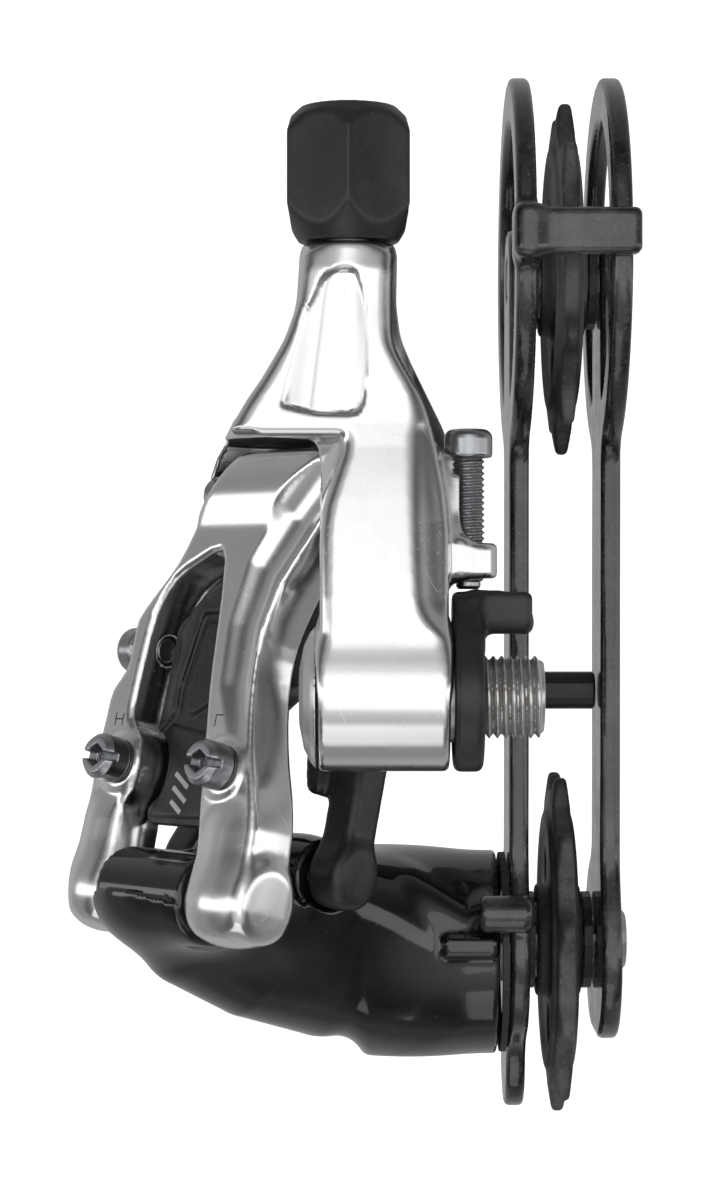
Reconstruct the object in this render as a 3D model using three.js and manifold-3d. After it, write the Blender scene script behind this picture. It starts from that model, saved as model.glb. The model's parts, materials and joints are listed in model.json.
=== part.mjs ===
// Rear bicycle derailleur, rest pose: highest gear, cage resting on its stop.
// Millimetres. X forward, Y inboard (towards the wheel), Z up.
// The origin is on the hanger bolt's axis, in the face that meets the hanger.

import * as THREE from 'three';
import { mergeVertices } from 'three/addons/utils/BufferGeometryUtils.js';
import { ConvexGeometry } from 'three/addons/geometries/ConvexGeometry.js';
import Module from 'manifold-3d';

const wasm = await Module();
wasm.setup();

// ---------------------------------------------------------------- driving dimensions

const GAP = 0.3; // between neighbours that touch
const RUNNING = 0.3; // radial, shaft in hole

const THREAD = { radius: 5, root: 4.4, length: 7.3, pitch: 1 }; // M10 x 1 hanger stud
const SHAFT = 5.5; // hanger bolt shank
const BOSS = { radius: 9, outer: -19.8, inner: -4.1 };
const WASHER = { radius: 9, thickness: 3.6, reach: 12.7 };

const PIN = 2.4; // radius of the four linkage pins
const LINK = { length: 51.6, lean: THREE.MathUtils.degToRad(14.25), shift: -7.5 };
const TRAVEL = THREE.MathUtils.degToRad(56); // swing from the highest to the lowest gear
const SLANT = Math.SQRT1_2; // both components of the 45 degree slant
const OUTER_REAR_PIN = new THREE.Vector3(-25, -24.5, -16);
const LINK_SPACING = 17; // between the outer and inner pins, along the shift direction
const CLEVIS = { inside: 11.3, outside: 16.6, outboardY: -35.2 };

const PIVOT = new THREE.Vector3(35.3, 0, -37); // cage pivot, axis along Y
const HOUSING = { radius: 13.5, bore: 11, outer: -14, floor: -7, inner: 3.4 };

const CAGE = { outerFace: 4.8, innerFace: 19.4, plate: 2.6, depth: 15, ring: 25 };
const PULLEY = { teeth: 11, tip: 23.4, root: 20.2, width: 2.4, y: 12.1, hub: 7.6, hubWidth: 6 };
const GUIDE = new THREE.Vector3(34.7, PULLEY.y, -45);
const TENSION = new THREE.Vector3(-54.4, PULLEY.y, -37);

const ADJUSTER = { y: -16.2, z: -3, front: -55.1, rear: -71.5, widest: 8.7, sides: 6 };
const NECK = { radius: 5.5, rear: -54.7, front: -44 };
const B_SCREW = { y: -1.6, z: -4, head: -32.5, tip: -13, radius: 2, headRadius: 3 };
const LIMIT_SCREW = { x: 36, highY: -16.4, lowY: 3, radius: 2, headRadius: 2.9, top: 8.6, tip: -5 };

// ---------------------------------------------------------------- directions and frames

const X = new THREE.Vector3(1, 0, 0);
const Y = new THREE.Vector3(0, 1, 0);
const Z = new THREE.Vector3(0, 0, 1);
const PIN_AXIS = new THREE.Vector3(0, SLANT, SLANT);
const SHIFT_AXIS = new THREE.Vector3(0, SLANT, -SLANT);

// A link's own frame: x along the link, y along its pins, z out of its outer face.
const LINK_X = X.clone().multiplyScalar(Math.cos(LINK.lean))
  .addScaledVector(SHIFT_AXIS, -Math.sin(LINK.lean));
const LINK_Z = new THREE.Vector3().crossVectors(LINK_X, PIN_AXIS);

const INNER_REAR_PIN = OUTER_REAR_PIN.clone()
  .addScaledVector(SHIFT_AXIS, LINK_SPACING).addScaledVector(X, -2);

function frontPin(rear) {
  return rear.clone().addScaledVector(LINK_X, LINK.length).addScaledVector(PIN_AXIS, LINK.shift);
}

function frame(origin, x, y, z) {
  return new THREE.Matrix4().makeBasis(x, y, z).setPosition(origin);
}

const OUTER_LINK_FRAME = frame(OUTER_REAR_PIN, LINK_X, PIN_AXIS, LINK_Z);
const INNER_LINK_FRAME = frame(INNER_REAR_PIN, LINK_X, PIN_AXIS, LINK_Z);

// A frame whose y axis is the pin axis and whose x axis stays level.
function pinFrame(origin) {
  return frame(origin, X, PIN_AXIS, SHIFT_AXIS.clone().negate());
}

// A frame that turns local y onto a direction.
function along(origin, direction) {
  const turn = new THREE.Quaternion().setFromUnitVectors(Y, direction.clone().normalize());
  return new THREE.Matrix4().makeRotationFromQuaternion(turn).setPosition(origin);
}

// A frame in which a flat outline drawn in X and Z is pushed out along Y from `from`.
function sideways(from) {
  return frame(new THREE.Vector3(0, from, 0), X, Z.clone(), Y.clone().negate());
}

// ---------------------------------------------------------------- solids

function solid(geometry) {
  const bare = geometry.clone();
  bare.deleteAttribute('normal');
  bare.deleteAttribute('uv');
  const merged = mergeVertices(bare, 1e-4);
  const corners = merged.index.array;
  const triangles = [];
  for (let i = 0; i < corners.length; i += 3) {
    const [a, b, c] = corners.slice(i, i + 3);
    if (a !== b && b !== c && c !== a) triangles.push(a, b, c);
  }
  return new wasm.Manifold(new wasm.Mesh({
    numProp: 3,
    vertProperties: Float32Array.from(merged.attributes.position.array),
    triVerts: Uint32Array.from(triangles),
  }));
}

function joined(first, ...others) {
  return others.reduce((whole, piece) => whole.add(piece), first);
}

function cut(first, ...others) {
  return others.reduce((whole, piece) => whole.subtract(piece), first);
}

// A turned solid: profile points are [radius, distance along local y].
function turned(profile, matrix = new THREE.Matrix4(), sides = 18) {
  const points = profile.map(([r, y]) => new THREE.Vector2(Math.max(r, 0), y));
  return solid(new THREE.LatheGeometry(points, sides).applyMatrix4(matrix));
}

function rod(radius, from, to, matrix, sides = 16, chamfer = 0) {
  const edge = chamfer > 0;
  const start = edge ? [[radius - chamfer, from], [radius, from + chamfer]] : [[radius, from]];
  const end = edge ? [[radius, to - chamfer], [radius - chamfer, to]] : [[radius, to]];
  return turned([[0, from], ...start, ...end, [0, to]], matrix, sides);
}

function ring(inner, outer, from, to, matrix, sides = 16) {
  const profile = [[inner, from], [outer, from], [outer, to], [inner, to], [inner, from]];
  return turned(profile, matrix, sides);
}

function block(low, high, matrix = new THREE.Matrix4()) {
  const size = high.map((value, i) => value - low[i]);
  const box = new THREE.BoxGeometry(...size);
  box.translate(...high.map((value, i) => (value + low[i]) / 2));
  return solid(box.applyMatrix4(matrix));
}

// A flat outline pushed out by `depth` along the frame's z, its edges bevelled.
function slab(shape, depth, matrix, bevel = 0, curveSegments = 6) {
  const geometry = new THREE.ExtrudeGeometry(shape, {
    depth: depth - 2 * bevel,
    bevelEnabled: bevel > 0,
    bevelThickness: bevel,
    bevelSize: bevel,
    bevelOffset: -bevel,
    bevelSegments: 1,
    curveSegments,
  });
  geometry.translate(0, 0, bevel);
  return solid(geometry.applyMatrix4(matrix));
}

function outline(points) {
  return new THREE.Shape(points.map(([x, y]) => new THREE.Vector2(x, y)));
}

// The smooth lump stretched over several round discs: [centre, axis, radius].
function stretched(discs, sides = 16) {
  const points = [];
  for (const [centre, axis, radius] of discs) {
    const matrix = along(centre, axis);
    for (let i = 0; i < sides; i += 1) {
      const angle = (2 * Math.PI * i) / sides;
      const rim = new THREE.Vector3(radius * Math.cos(angle), 0, radius * Math.sin(angle));
      points.push(rim.applyMatrix4(matrix));
    }
  }
  return solid(new ConvexGeometry(points));
}

function coil(radius, wire, from, to, turns, matrix, stepsPerTurn = 12) {
  const steps = turns * stepsPerTurn;
  const points = [];
  for (let i = 0; i <= steps; i += 1) {
    const angle = (2 * Math.PI * i) / stepsPerTurn;
    const y = from + ((to - from) * i) / steps;
    points.push(new THREE.Vector3(radius * Math.cos(angle), y, radius * Math.sin(angle)));
  }
  const section = new THREE.Shape();
  section.absarc(0, 0, wire, 0, 2 * Math.PI);
  const geometry = new THREE.ExtrudeGeometry(section, {
    steps,
    curveSegments: 3,
    extrudePath: new THREE.CatmullRomCurve3(points),
  });
  return solid(geometry.applyMatrix4(matrix));
}

function offset(origin, axis, distance) {
  return origin.clone().addScaledVector(axis, distance);
}

// ---------------------------------------------------------------- materials and nodes

const FINISHES = {
  polished_alloy: { color: '#c9cacb', roughness: 0.22, metalness: 1 },
  satin_alloy: { color: '#a9abad', roughness: 0.45, metalness: 1 },
  zinc_steel: { color: '#8c8f92', roughness: 0.35, metalness: 1 },
  spring_steel: { color: '#3c3e40', roughness: 0.45, metalness: 1 },
  bronze: { color: '#9a7440', roughness: 0.5, metalness: 1 },
  gloss_black: { color: '#0b0c0d', roughness: 0.12, metalness: 0 },
  satin_black: { color: '#1a1b1c', roughness: 0.5, metalness: 0 },
  filled_nylon: { color: '#141516', roughness: 0.55, metalness: 0 },
  carbon: { color: '#0e0f10', roughness: 0.18, metalness: 0 },
  worn_resin: { color: '#242729', roughness: 0.7, metalness: 0 },
  rubber: { color: '#101010', roughness: 0.8, metalness: 0 },
};

const derailleur = new THREE.Group();

function add(name, shape, finish) {
  const mesh = shape.getMesh();
  const geometry = new THREE.BufferGeometry();
  geometry.setAttribute('position', new THREE.BufferAttribute(Float32Array.from(mesh.vertProperties), 3));
  geometry.setIndex(new THREE.BufferAttribute(Uint32Array.from(mesh.triVerts), 1));
  const node = new THREE.Mesh(geometry, new THREE.MeshStandardMaterial({ ...FINISHES[finish] }));
  node.name = name;
  derailleur.add(node);
}

// ---------------------------------------------------------------- hanger fixing

function hangerBolt() {
  const head = BOSS.outer - GAP;
  const profile = [[0, head - 1.8], [4.6, head - 1.6], [7.4, head - 0.9], [8.6, head], [SHAFT, head]];
  const clipGroove = [[SHAFT, -3], [4.9, -3], [4.9, -2], [SHAFT, -2]];
  profile.push(...clipGroove, [SHAFT, -0.2], [THREAD.root, 0.2]);
  for (let y = 0.4; y < THREAD.length - 0.8; y += THREAD.pitch) {
    profile.push([THREAD.root, y], [THREAD.radius, y + THREAD.pitch / 2]);
  }
  profile.push([THREAD.root, THREAD.length - 0.4], [3.9, THREAD.length], [0, THREAD.length]);
  const socket = rod(2.9, head - 2, head + 2.6, undefined, 6);
  return cut(turned(profile), socket);
}

function clip() {
  const whole = ring(5.2, 6.8, -2.8, -2.2);
  return cut(whole, block([-1.5, -4, -9], [1.5, 0, 0]));
}

function bWasher() {
  const outer = -WASHER.thickness;
  const disc = turned([[0, outer], [8.3, outer], [9, outer + 0.7], [9, -0.5], [8.5, 0], [0, 0]]);
  const { reach } = WASHER;
  const arm = outline([[-reach, 0.6], [-reach, -6], [-10.6, -7.6], [-4, -8.4], [-4, 3], [-8, 3]]);
  const tab = outline([[-reach, 0.6], [-reach, -5], [-8.2, -4.6], [-7.2, -0.4], [-8.4, 0.6]]);
  const blank = joined(
    disc,
    slab(arm, WASHER.thickness - 0.2, sideways(-0.2), 0.4),
    slab(tab, 7.4, sideways(6), 0.5),
  );
  const pocket = rod(7.2, outer - 1, -1.9);
  return cut(blank, rod(SHAFT + RUNNING, -9, 9), pocket);
}

// ---------------------------------------------------------------- B-knuckle

// The space that a link sweeps as it swings about one of its pins.
function sweep(pin, towards, width, low, high, reach) {
  const shapes = [];
  const steps = 4;
  for (let i = 0; i <= steps; i += 1) {
    const swing = new THREE.Matrix4().makeRotationAxis(PIN_AXIS, (TRAVEL * i) / steps);
    const x = LINK_X.clone().applyMatrix4(swing).multiplyScalar(towards);
    const z = new THREE.Vector3().crossVectors(x, PIN_AXIS);
    shapes.push(block([0, low, -width], [reach, high, width], frame(pin, x, PIN_AXIS, z)));
  }
  return joined(...shapes);
}

function bKnuckle() {
  const chamfer = 0.7;
  const boss = rod(BOSS.radius, BOSS.outer, BOSS.inner, undefined, 24, chamfer);
  const neckY = ADJUSTER.y;
  const neckRear = new THREE.Vector3(NECK.rear, neckY, ADJUSTER.z);
  const neck = rod(NECK.radius, 0, NECK.front - NECK.rear, along(neckRear, X), 20, 0.6);
  const body = stretched([
    [new THREE.Vector3(-0.5, BOSS.outer + 0.4, -0.6), Y, 8],
    [new THREE.Vector3(-0.5, BOSS.inner - 0.5, -0.6), Y, 8],
    [new THREE.Vector3(-32, -7.2, -1.8), Y, 4.6],
    [new THREE.Vector3(NECK.front - 3, neckY, ADJUSTER.z), X, NECK.radius],
  ]);
  const flare = stretched([
    [new THREE.Vector3(NECK.front - 2, neckY, ADJUSTER.z), X, NECK.radius],
    [offset(OUTER_REAR_PIN, PIN_AXIS, -CLEVIS.outside), PIN_AXIS, 5.4],
    [offset(OUTER_REAR_PIN, PIN_AXIS, CLEVIS.outside - 1), PIN_AXIS, 5.4],
    [offset(INNER_REAR_PIN, PIN_AXIS, -CLEVIS.outside), PIN_AXIS, 4.6],
    [offset(INNER_REAR_PIN, PIN_AXIS, CLEVIS.inside), PIN_AXIS, 4.6],
    [offset(OUTER_REAR_PIN, X, -9), PIN_AXIS, 6],
  ]);
  const screwLug = stretched([
    [new THREE.Vector3(-18.3, B_SCREW.y, B_SCREW.z), X, 3.3],
    [new THREE.Vector3(-14.2, B_SCREW.y, B_SCREW.z), X, 3.3],
    [new THREE.Vector3(-19, -8, -2), X, 4.4],
    [new THREE.Vector3(-14.2, -8, -2), X, 4.4],
  ], 12);
  const slot = block([-7, -CLEVIS.inside, -LINK_SPACING - 20], [14.5, CLEVIS.inside, 26],
    pinFrame(OUTER_REAR_PIN));
  const swings = [
    sweep(OUTER_REAR_PIN, 1, 4, -24, 7.9, 40),
    sweep(INNER_REAR_PIN, 1, 3.2, -26, 9.4, 40),
  ];
  const whole = joined(boss, neck, body, flare, screwLug);
  const outboard = block([-60, -60, -60], [10, CLEVIS.outboardY, 20]);
  return cut(
    whole,
    outboard,
    ...swings.map((swing) => cut(swing, boss)),
    cut(slot, rod(BOSS.radius + 0.1, BOSS.outer, BOSS.inner, undefined, 24)),
    rod(SHAFT + RUNNING + 1.6, -30, 10),
    rod(PIN + 0.1, -CLEVIS.outside + 0.5, CLEVIS.outside - 0.5, pinFrame(OUTER_REAR_PIN)),
    rod(PIN + 0.1, -CLEVIS.outside + 0.5, CLEVIS.inside + 3, pinFrame(INNER_REAR_PIN)),
    rod(3 + RUNNING, -2, 14.5, along(neckRear, X)),
    rod(B_SCREW.radius + RUNNING, 0, 40, along(new THREE.Vector3(-40, B_SCREW.y, B_SCREW.z), X)),
    rod(B_SCREW.headRadius + 0.4, 0, 9, along(new THREE.Vector3(-36, B_SCREW.y, B_SCREW.z), X)),
  );
}

function bTensionScrew() {
  const start = new THREE.Vector3(B_SCREW.head, B_SCREW.y, B_SCREW.z);
  const length = B_SCREW.tip - B_SCREW.head;
  const profile = [[0, 0], [2.6, 0], [3, 0.4], [3, 3.5], [B_SCREW.radius, 3.5]];
  const pitch = 1.4;
  for (let y = 4.2; y < length - 3; y += pitch) {
    profile.push([B_SCREW.radius, y], [B_SCREW.radius - 0.35, y + pitch / 2]);
  }
  profile.push([1.8, length - 1], [1.4, length], [0, length]);
  const socket = rod(1.5, -1, 2.4, along(start, X), 6);
  return cut(turned(profile, along(start, X), 16), socket);
}

function adjusterKnob() {
  const { front, rear, widest } = ADJUSTER;
  const start = new THREE.Vector3(rear, ADJUSTER.y, ADJUSTER.z);
  const length = front - rear;
  const profile = [
    [0, 0], [6.2, 0], [7.4, 1.2], [widest, length - 5.5], [7, length - 1], [6.1, length], [0, length],
  ];
  const knob = turned(profile, along(start, X), ADJUSTER.sides);
  const housingSeat = rod(3.1, -1, 9, along(start, X), 16);
  return cut(knob, housingSeat, rod(3 + RUNNING, 9.5, length + 1, along(start, X), 16),
    rod(1.2, -1, length, along(start, X), 12));
}

function adjusterStem() {
  const start = new THREE.Vector3(ADJUSTER.rear + 9.8, ADJUSTER.y, ADJUSTER.z);
  return ring(1.2, 3, 0, 20.5, along(start, X), 16);
}

// The bush inside the boss, round the hanger bolt.
function hangerBushing() {
  const bore = SHAFT + RUNNING;
  return ring(bore, bore + 1.3, BOSS.outer + 0.1, BOSS.inner - 0.1);
}

// ---------------------------------------------------------------- links

// A plain pin between two places along the pin axis.
function linkPin(origin, from, to) {
  return rod(PIN, from, to, pinFrame(origin), 14, 0.3);
}

function outerLink() {
  const half = 3.3;
  const face = frame(offset(OUTER_REAR_PIN, LINK_Z, -half), LINK_X, PIN_AXIS, LINK_Z);
  const web = outline([
    [-3, -11], [7.5, -11], [14.6, -16.8], [17.3, -19], [24, -19], [26, -21.4], [34, -21.9], [52, -21.9],
    [52, -15.3], [41, -15.3], [38.5, -12.6], [33.5, -12.6], [31, -15.2], [17.2, -15], [12, -10], [8, -4.9],
    [14.6, -3.6], [25, -2.9], [40, -0.6], [47, 0.8], [52, 0.8], [52, 10.4], [43, 10.2], [35, 7.4],
    [15.5, 7.4], [12, 11], [-3, 11],
  ]);
  const barrel = 5.2;
  const front = new THREE.Matrix4().multiplyMatrices(
    OUTER_LINK_FRAME, new THREE.Matrix4().makeTranslation(LINK.length, 0, 0));
  const floor = outline([[6, -6], [14, -14], [42, -14.5], [42, -1.5], [30, -2.4], [9, -4]]);
  const whole = joined(
    slab(web, 2 * half, face, 0.8),
    rod(barrel, -11, 11, OUTER_LINK_FRAME, 16, 0.5),
    rod(barrel, 0.8, 10.4, front, 16, 0.8),
    rod(barrel, -21.9, -15.3, front, 16, 0.8),
    slab(floor, 1.6, frame(offset(OUTER_REAR_PIN, LINK_Z, -3.1), LINK_X, PIN_AXIS, LINK_Z)),
  );
  const holes = [LIMIT_SCREW.highY, LIMIT_SCREW.lowY].map((y) => (
    rod(LIMIT_SCREW.radius + RUNNING, -10, 10, limitFrame(y), 16)
  ));
  return cut(
    whole,
    rod(PIN + RUNNING, -12, 12, OUTER_LINK_FRAME),
    rod(PIN + 0.1, -21.2, 10, front),
    rod(1.9, -30, -14, anchorFrame(), 12),
    ...holes,
  );
}

function limitFrame(y) {
  const foot = OUTER_REAR_PIN.clone().addScaledVector(LINK_X, LIMIT_SCREW.x).addScaledVector(PIN_AXIS, y);
  return along(foot, LINK_Z);
}

function anchorFrame() {
  return frame(offset(OUTER_REAR_PIN, LINK_X, 20.6), LINK_X, PIN_AXIS, LINK_Z);
}

function limitScrew(y) {
  const { radius, headRadius, top, tip } = LIMIT_SCREW;
  const neck = top - 3.6;
  const profile = [[0, tip], [radius - 0.5, tip], [radius, tip + 0.5], [radius, neck]];
  profile.push([headRadius, neck], [headRadius, top - 0.5], [headRadius - 0.5, top], [0, top]);
  const screw = turned(profile, limitFrame(y), 16);
  const slot = block([-4, top - 1.2, -0.45], [4, top + 1, 0.45], limitFrame(y));
  return cut(screw, slot, rod(1.2, top - 2.2, top + 1, limitFrame(y), 6));
}

function anchorWasher() {
  return ring(2.1, 3.2, -20.1, -19.3, anchorFrame(), 16);
}

function anchorBolt() {
  const profile = [[0, -23.4], [2.6, -23.4], [3, -23], [3, -20.4], [1.7, -20.4], [1.7, -16.3], [0, -16.3]];
  return cut(turned(profile, anchorFrame(), 16), rod(1.4, -24, -21.6, anchorFrame(), 6));
}

function linkPlate() {
  const plate = outline([[9, -5.4], [14.4, -4], [25, -3.3], [33, -2], [42, -0.7], [43, -1.4], [43, -14.2],
    [41, -14.9], [39, -12.2], [33.2, -12.2], [31, -14.6], [17.4, -14.5], [12.5, -9.6]]);
  const face = frame(offset(OUTER_REAR_PIN, LINK_Z, -1.2), LINK_X, PIN_AXIS, LINK_Z);
  return slab(plate, 2, face, 0.3);
}

function innerLink() {
  const half = 2.6;
  const face = frame(offset(INNER_REAR_PIN, LINK_Z, -half), LINK_X, PIN_AXIS, LINK_Z);
  const web = outline([
    [-2, -11], [8, -11], [22, -18], [38, -24], [52, -24], [52, -18.5], [41, -18.3], [31, -12], [27, -6],
    [31, 0], [38, 3.4], [52, 3.5], [52, 9], [24, 9], [12, 7], [-2, 7],
  ]);
  const front = new THREE.Matrix4().multiplyMatrices(
    INNER_LINK_FRAME, new THREE.Matrix4().makeTranslation(LINK.length, 0, 0));
  const rib = outline([[8, -3], [30, -1.5], [40, 0.5], [42, 1.2], [42, 3.4], [30, 2.6], [8, 1]]);
  const whole = joined(
    slab(web, 2 * half, face, 0.6),
    rod(4.4, -11, 7, INNER_LINK_FRAME, 16, 0.4),
    rod(4, 3.5, 9, front, 16, 0.6),
    rod(4, -24, -18.5, front, 16, 0.6),
    slab(rib, 5.2, frame(offset(INNER_REAR_PIN, LINK_Z, -1), LINK_X, PIN_AXIS, LINK_Z), 0.5),
  );
  return cut(
    whole,
    rod(PIN + RUNNING, -12, 12, INNER_LINK_FRAME),
    rod(5.6, -5.3, 1.3, INNER_LINK_FRAME),
    rod(PIN + 0.1, -23.4, 8.4, front),
  );
}

function returnSpring() {
  return coil(3.9, 0.65, -4.4, 0.4, 3, INNER_LINK_FRAME);
}

// ---------------------------------------------------------------- P-knuckle

function pKnuckle() {
  const outerPin = frontPin(OUTER_REAR_PIN);
  const innerPin = frontPin(INNER_REAR_PIN);
  const axis = along(PIVOT, Y);
  const housing = rod(HOUSING.radius, HOUSING.outer, HOUSING.inner, axis, 24, 0.6);
  const web = [
    [new THREE.Vector3(PIVOT.x, HOUSING.outer + 1, PIVOT.z), Y, HOUSING.radius - 1],
    [new THREE.Vector3(PIVOT.x, HOUSING.outer + 7, PIVOT.z), Y, HOUSING.radius - 0.4],
  ];
  const outerHorn = stretched([
    [offset(outerPin, PIN_AXIS, -7.4), PIN_AXIS, 5.3],
    [offset(outerPin, PIN_AXIS, 7.9), PIN_AXIS, 5.3],
    ...web,
  ]);
  const innerHorn = stretched([
    [offset(innerPin, PIN_AXIS, -10.7), PIN_AXIS, 4.4],
    [offset(innerPin, PIN_AXIS, 10.7), PIN_AXIS, 4.4],
    ...web,
  ]);
  const stopRidge = block([31.7, -4, -24.6], [34, 3, -21.6]);
  const outerFrame = pinFrame(outerPin);
  const innerFrame = pinFrame(innerPin);
  return cut(
    joined(housing, outerHorn, innerHorn, stopRidge),
    rod(5.6, 8.2, 24, outerFrame),
    rod(5.6, -24, -7.7, outerFrame),
    cut(sweep(outerPin, -1, 4, -16, 30, 32), rod(5.5, -7.7, 8.2, outerFrame)),
    sweep(outerPin, -1, 5.8, 8.2, 20, 6),
    rod(4.4, 10.9, 24, innerFrame),
    rod(4.4, -24, -10.9, innerFrame),
    sweep(innerPin, -1, 3.2, 10.9, 24, 32),
    sweep(innerPin, -1, 3.2, -24, -10.9, 32),
    sweep(innerPin, -1, 5.4, -24, 24, 32).subtract(rod(5, -10.7, 10.7, innerFrame)),
    rod(PIN + RUNNING, -9, 9, outerFrame),
    rod(PIN + RUNNING, -12, 12, innerFrame),
    rod(HOUSING.bore, HOUSING.floor, HOUSING.inner + 1, axis),
    rod(5.9, HOUSING.outer + 1, 0, axis),
  );
}

function cageBushing() {
  return ring(4.3, 5.6, HOUSING.outer + 1.4, HOUSING.floor + 2, along(PIVOT, Y));
}

function cageSpring() {
  return coil(9.2, 0.9, HOUSING.floor + 1.3, HOUSING.inner - 1.3, 4, along(PIVOT, Y), 14);
}

function cageSeal() {
  return ring(11.6, 13.3, HOUSING.inner + GAP, CAGE.outerFace - GAP, along(PIVOT, Y), 24);
}

// ---------------------------------------------------------------- cage

function circle(x, y, radius) {
  const shape = new THREE.Shape();
  shape.absarc(x, y, radius, 0, 2 * Math.PI);
  return shape;
}

// A bar with round ends between two points of the X-Z plane.
function bar(from, to, radiusFrom, radiusTo) {
  const angle = Math.atan2(to[1] - from[1], to[0] - from[0]);
  const shape = new THREE.Shape();
  shape.absarc(from[0], from[1], radiusFrom, angle + Math.PI / 2, angle + 1.5 * Math.PI);
  shape.absarc(to[0], to[1], radiusTo, angle - Math.PI / 2, angle + Math.PI / 2);
  shape.closePath();
  return shape;
}

// One cage plate: front disc, straight arm and the open loop round the tension pulley.
function cagePlate(outerY, tabReach) {
  const near = sideways(outerY + CAGE.plate);
  const plate = (shape) => slab(shape, CAGE.plate, near, 0.5, 8);
  const loop = [TENSION.x - 1.6, TENSION.z];
  const shapes = [
    plate(bar([loop[0] + 8, loop[1]], [PIVOT.x, PIVOT.z - 1], CAGE.depth / 2, CAGE.depth / 2)),
    plate(bar([PIVOT.x, PIVOT.z - 1], [GUIDE.x, GUIDE.z], 11.6, 10)),
    plate(bar([GUIDE.x, GUIDE.z], [tabReach - 7.5, GUIDE.z - 1], 10, 7.5)),
    plate(circle(...loop, CAGE.ring)),
  ];
  const windowHole = slab(circle(...loop, CAGE.ring - 5.6), CAGE.plate + 2, sideways(outerY + CAGE.plate + 1));
  const spoke = slab(bar([TENSION.x, TENSION.z], [TENSION.x + 24, TENSION.z], 6.6, 7.4),
    CAGE.plate + 4, sideways(outerY + CAGE.plate + 2));
  return cut(joined(...shapes), cut(windowHole, spoke));
}

function pulleyHoles(y0, y1) {
  return [GUIDE, TENSION].map((centre) => {
    const foot = new THREE.Vector3(centre.x, 0, centre.z);
    return rod(2.9, y0, y1, along(foot, Y), 16);
  });
}

const RODS = { x: 0.4, z: -37, radius: 2.5 };

function outerCagePlate() {
  const top = TENSION.z + CAGE.ring;
  const y0 = CAGE.outerFace;
  const bridge = joined(
    block([-60.6, y0, top - 1.5], [-54.4, y0 + CAGE.plate, top + 3.6]),
    block([-60.6, y0, top + GAP], [-54.4, CAGE.innerFace + 0.8, top + 3.6]),
  );
  const stop = stretched([
    [new THREE.Vector3(28.7, 0.7, -22.2), Y, 2.4],
    [new THREE.Vector3(28.7, y0 + CAGE.plate - 0.4, -22.2), Y, 2.4],
    [new THREE.Vector3(29.5, y0 + 0.4, -29), Y, 2.6],
    [new THREE.Vector3(29.5, y0 + CAGE.plate - 0.4, -29), Y, 2.6],
  ], 12);
  const clearance = rod(HOUSING.radius + 0.5, -4, HOUSING.inner + GAP, along(PIVOT, Y), 24);
  const sealRoom = rod(13.7, HOUSING.inner - 1, CAGE.outerFace, along(PIVOT, Y), 24);
  return cut(
    joined(cagePlate(y0, 57.4), bridge, cut(stop, clearance, sealRoom)),
    rod(4.3, 0, 10, along(PIVOT, Y)),
    ...pulleyHoles(0, 10),
  );
}

function innerCagePlate() {
  return cut(cagePlate(CAGE.innerFace - CAGE.plate, 46.2), ...pulleyHoles(15, 22));
}

function cageAxle() {
  return rod(4, HOUSING.outer + 1.4, CAGE.outerFace + CAGE.plate - 0.1, along(PIVOT, Y), 16, 0.4);
}

function cageRod() {
  const foot = new THREE.Vector3(RODS.x, 0, RODS.z);
  const from = CAGE.outerFace + CAGE.plate + GAP;
  const to = CAGE.innerFace - CAGE.plate - GAP;
  return rod(RODS.radius, from, to, along(foot, Y), 16, 0.3);
}

// ---------------------------------------------------------------- pulleys

function pulley(centre) {
  const { teeth, tip, root, width, hub, hubWidth } = PULLEY;
  const shape = new THREE.Shape();
  const pitch = (2 * Math.PI) / teeth;
  const foot = [0.27, root + 0.2];
  const shoulder = [0.13, tip - 0.3];
  const tooth = [[-0.5, root], [-foot[0], foot[1]], [-shoulder[0], shoulder[1]], [0, tip], shoulder, foot];
  for (let i = 0; i < teeth; i += 1) {
    for (const [share, radius] of tooth) {
      const angle = pitch * (i + share);
      const point = [radius * Math.cos(angle), radius * Math.sin(angle)];
      if (i === 0 && share === -0.5) shape.moveTo(...point);
      else shape.lineTo(...point);
    }
  }
  shape.closePath();
  const face = new THREE.Vector3(centre.x, centre.y + width / 2, centre.z);
  const place = frame(face, X, Z, Y.clone().negate());
  const axle = along(centre, Y);
  const windows = [];
  const count = 5;
  for (let i = 0; i < count; i += 1) {
    const angle = (2 * Math.PI * i) / count;
    const across = 13 * Math.cos(angle);
    const up = 13 * Math.sin(angle);
    const at = new THREE.Vector3(centre.x + across, centre.y, centre.z + up);
    windows.push(rod(2.8, -3, 3, along(at, Y), 8));
  }
  const blank = joined(
    slab(shape, width, place, 0.5),
    rod(17.4, -1.7, 1.7, axle, 20, 0.4),
    rod(hub, -hubWidth / 2, hubWidth / 2, axle, 16, 0.4),
  );
  return cut(blank, rod(5.5, -9, 9, axle), ...windows);
}

function pulleyBearing(centre) {
  return ring(2.9, 5.2, -PULLEY.hubWidth / 2 + 0.1, PULLEY.hubWidth / 2 - 0.1, along(centre, Y), 16);
}

function dustCover(centre, side) {
  const near = side * (PULLEY.hubWidth / 2 + GAP);
  const far = side * (PULLEY.hubWidth / 2 + 1.4);
  return ring(2.9, 6.6, Math.min(near, far), Math.max(near, far), along(centre, Y), 16);
}

function pulleyBolt(centre) {
  const foot = along(new THREE.Vector3(centre.x, 0, centre.z), Y);
  const start = CAGE.outerFace + 0.1;
  const seat = CAGE.innerFace + GAP;
  const profile = [[0, start], [2.2, start], [2.6, start + 0.4], [2.6, seat], [4.4, seat], [4.4, seat + 0.9],
    [3.6, seat + 1.6], [0, seat + 1.6]];
  return cut(turned(profile, foot, 16), rod(1.6, seat - 1, seat + 3, foot, 6));
}

// ---------------------------------------------------------------- assembly

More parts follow.
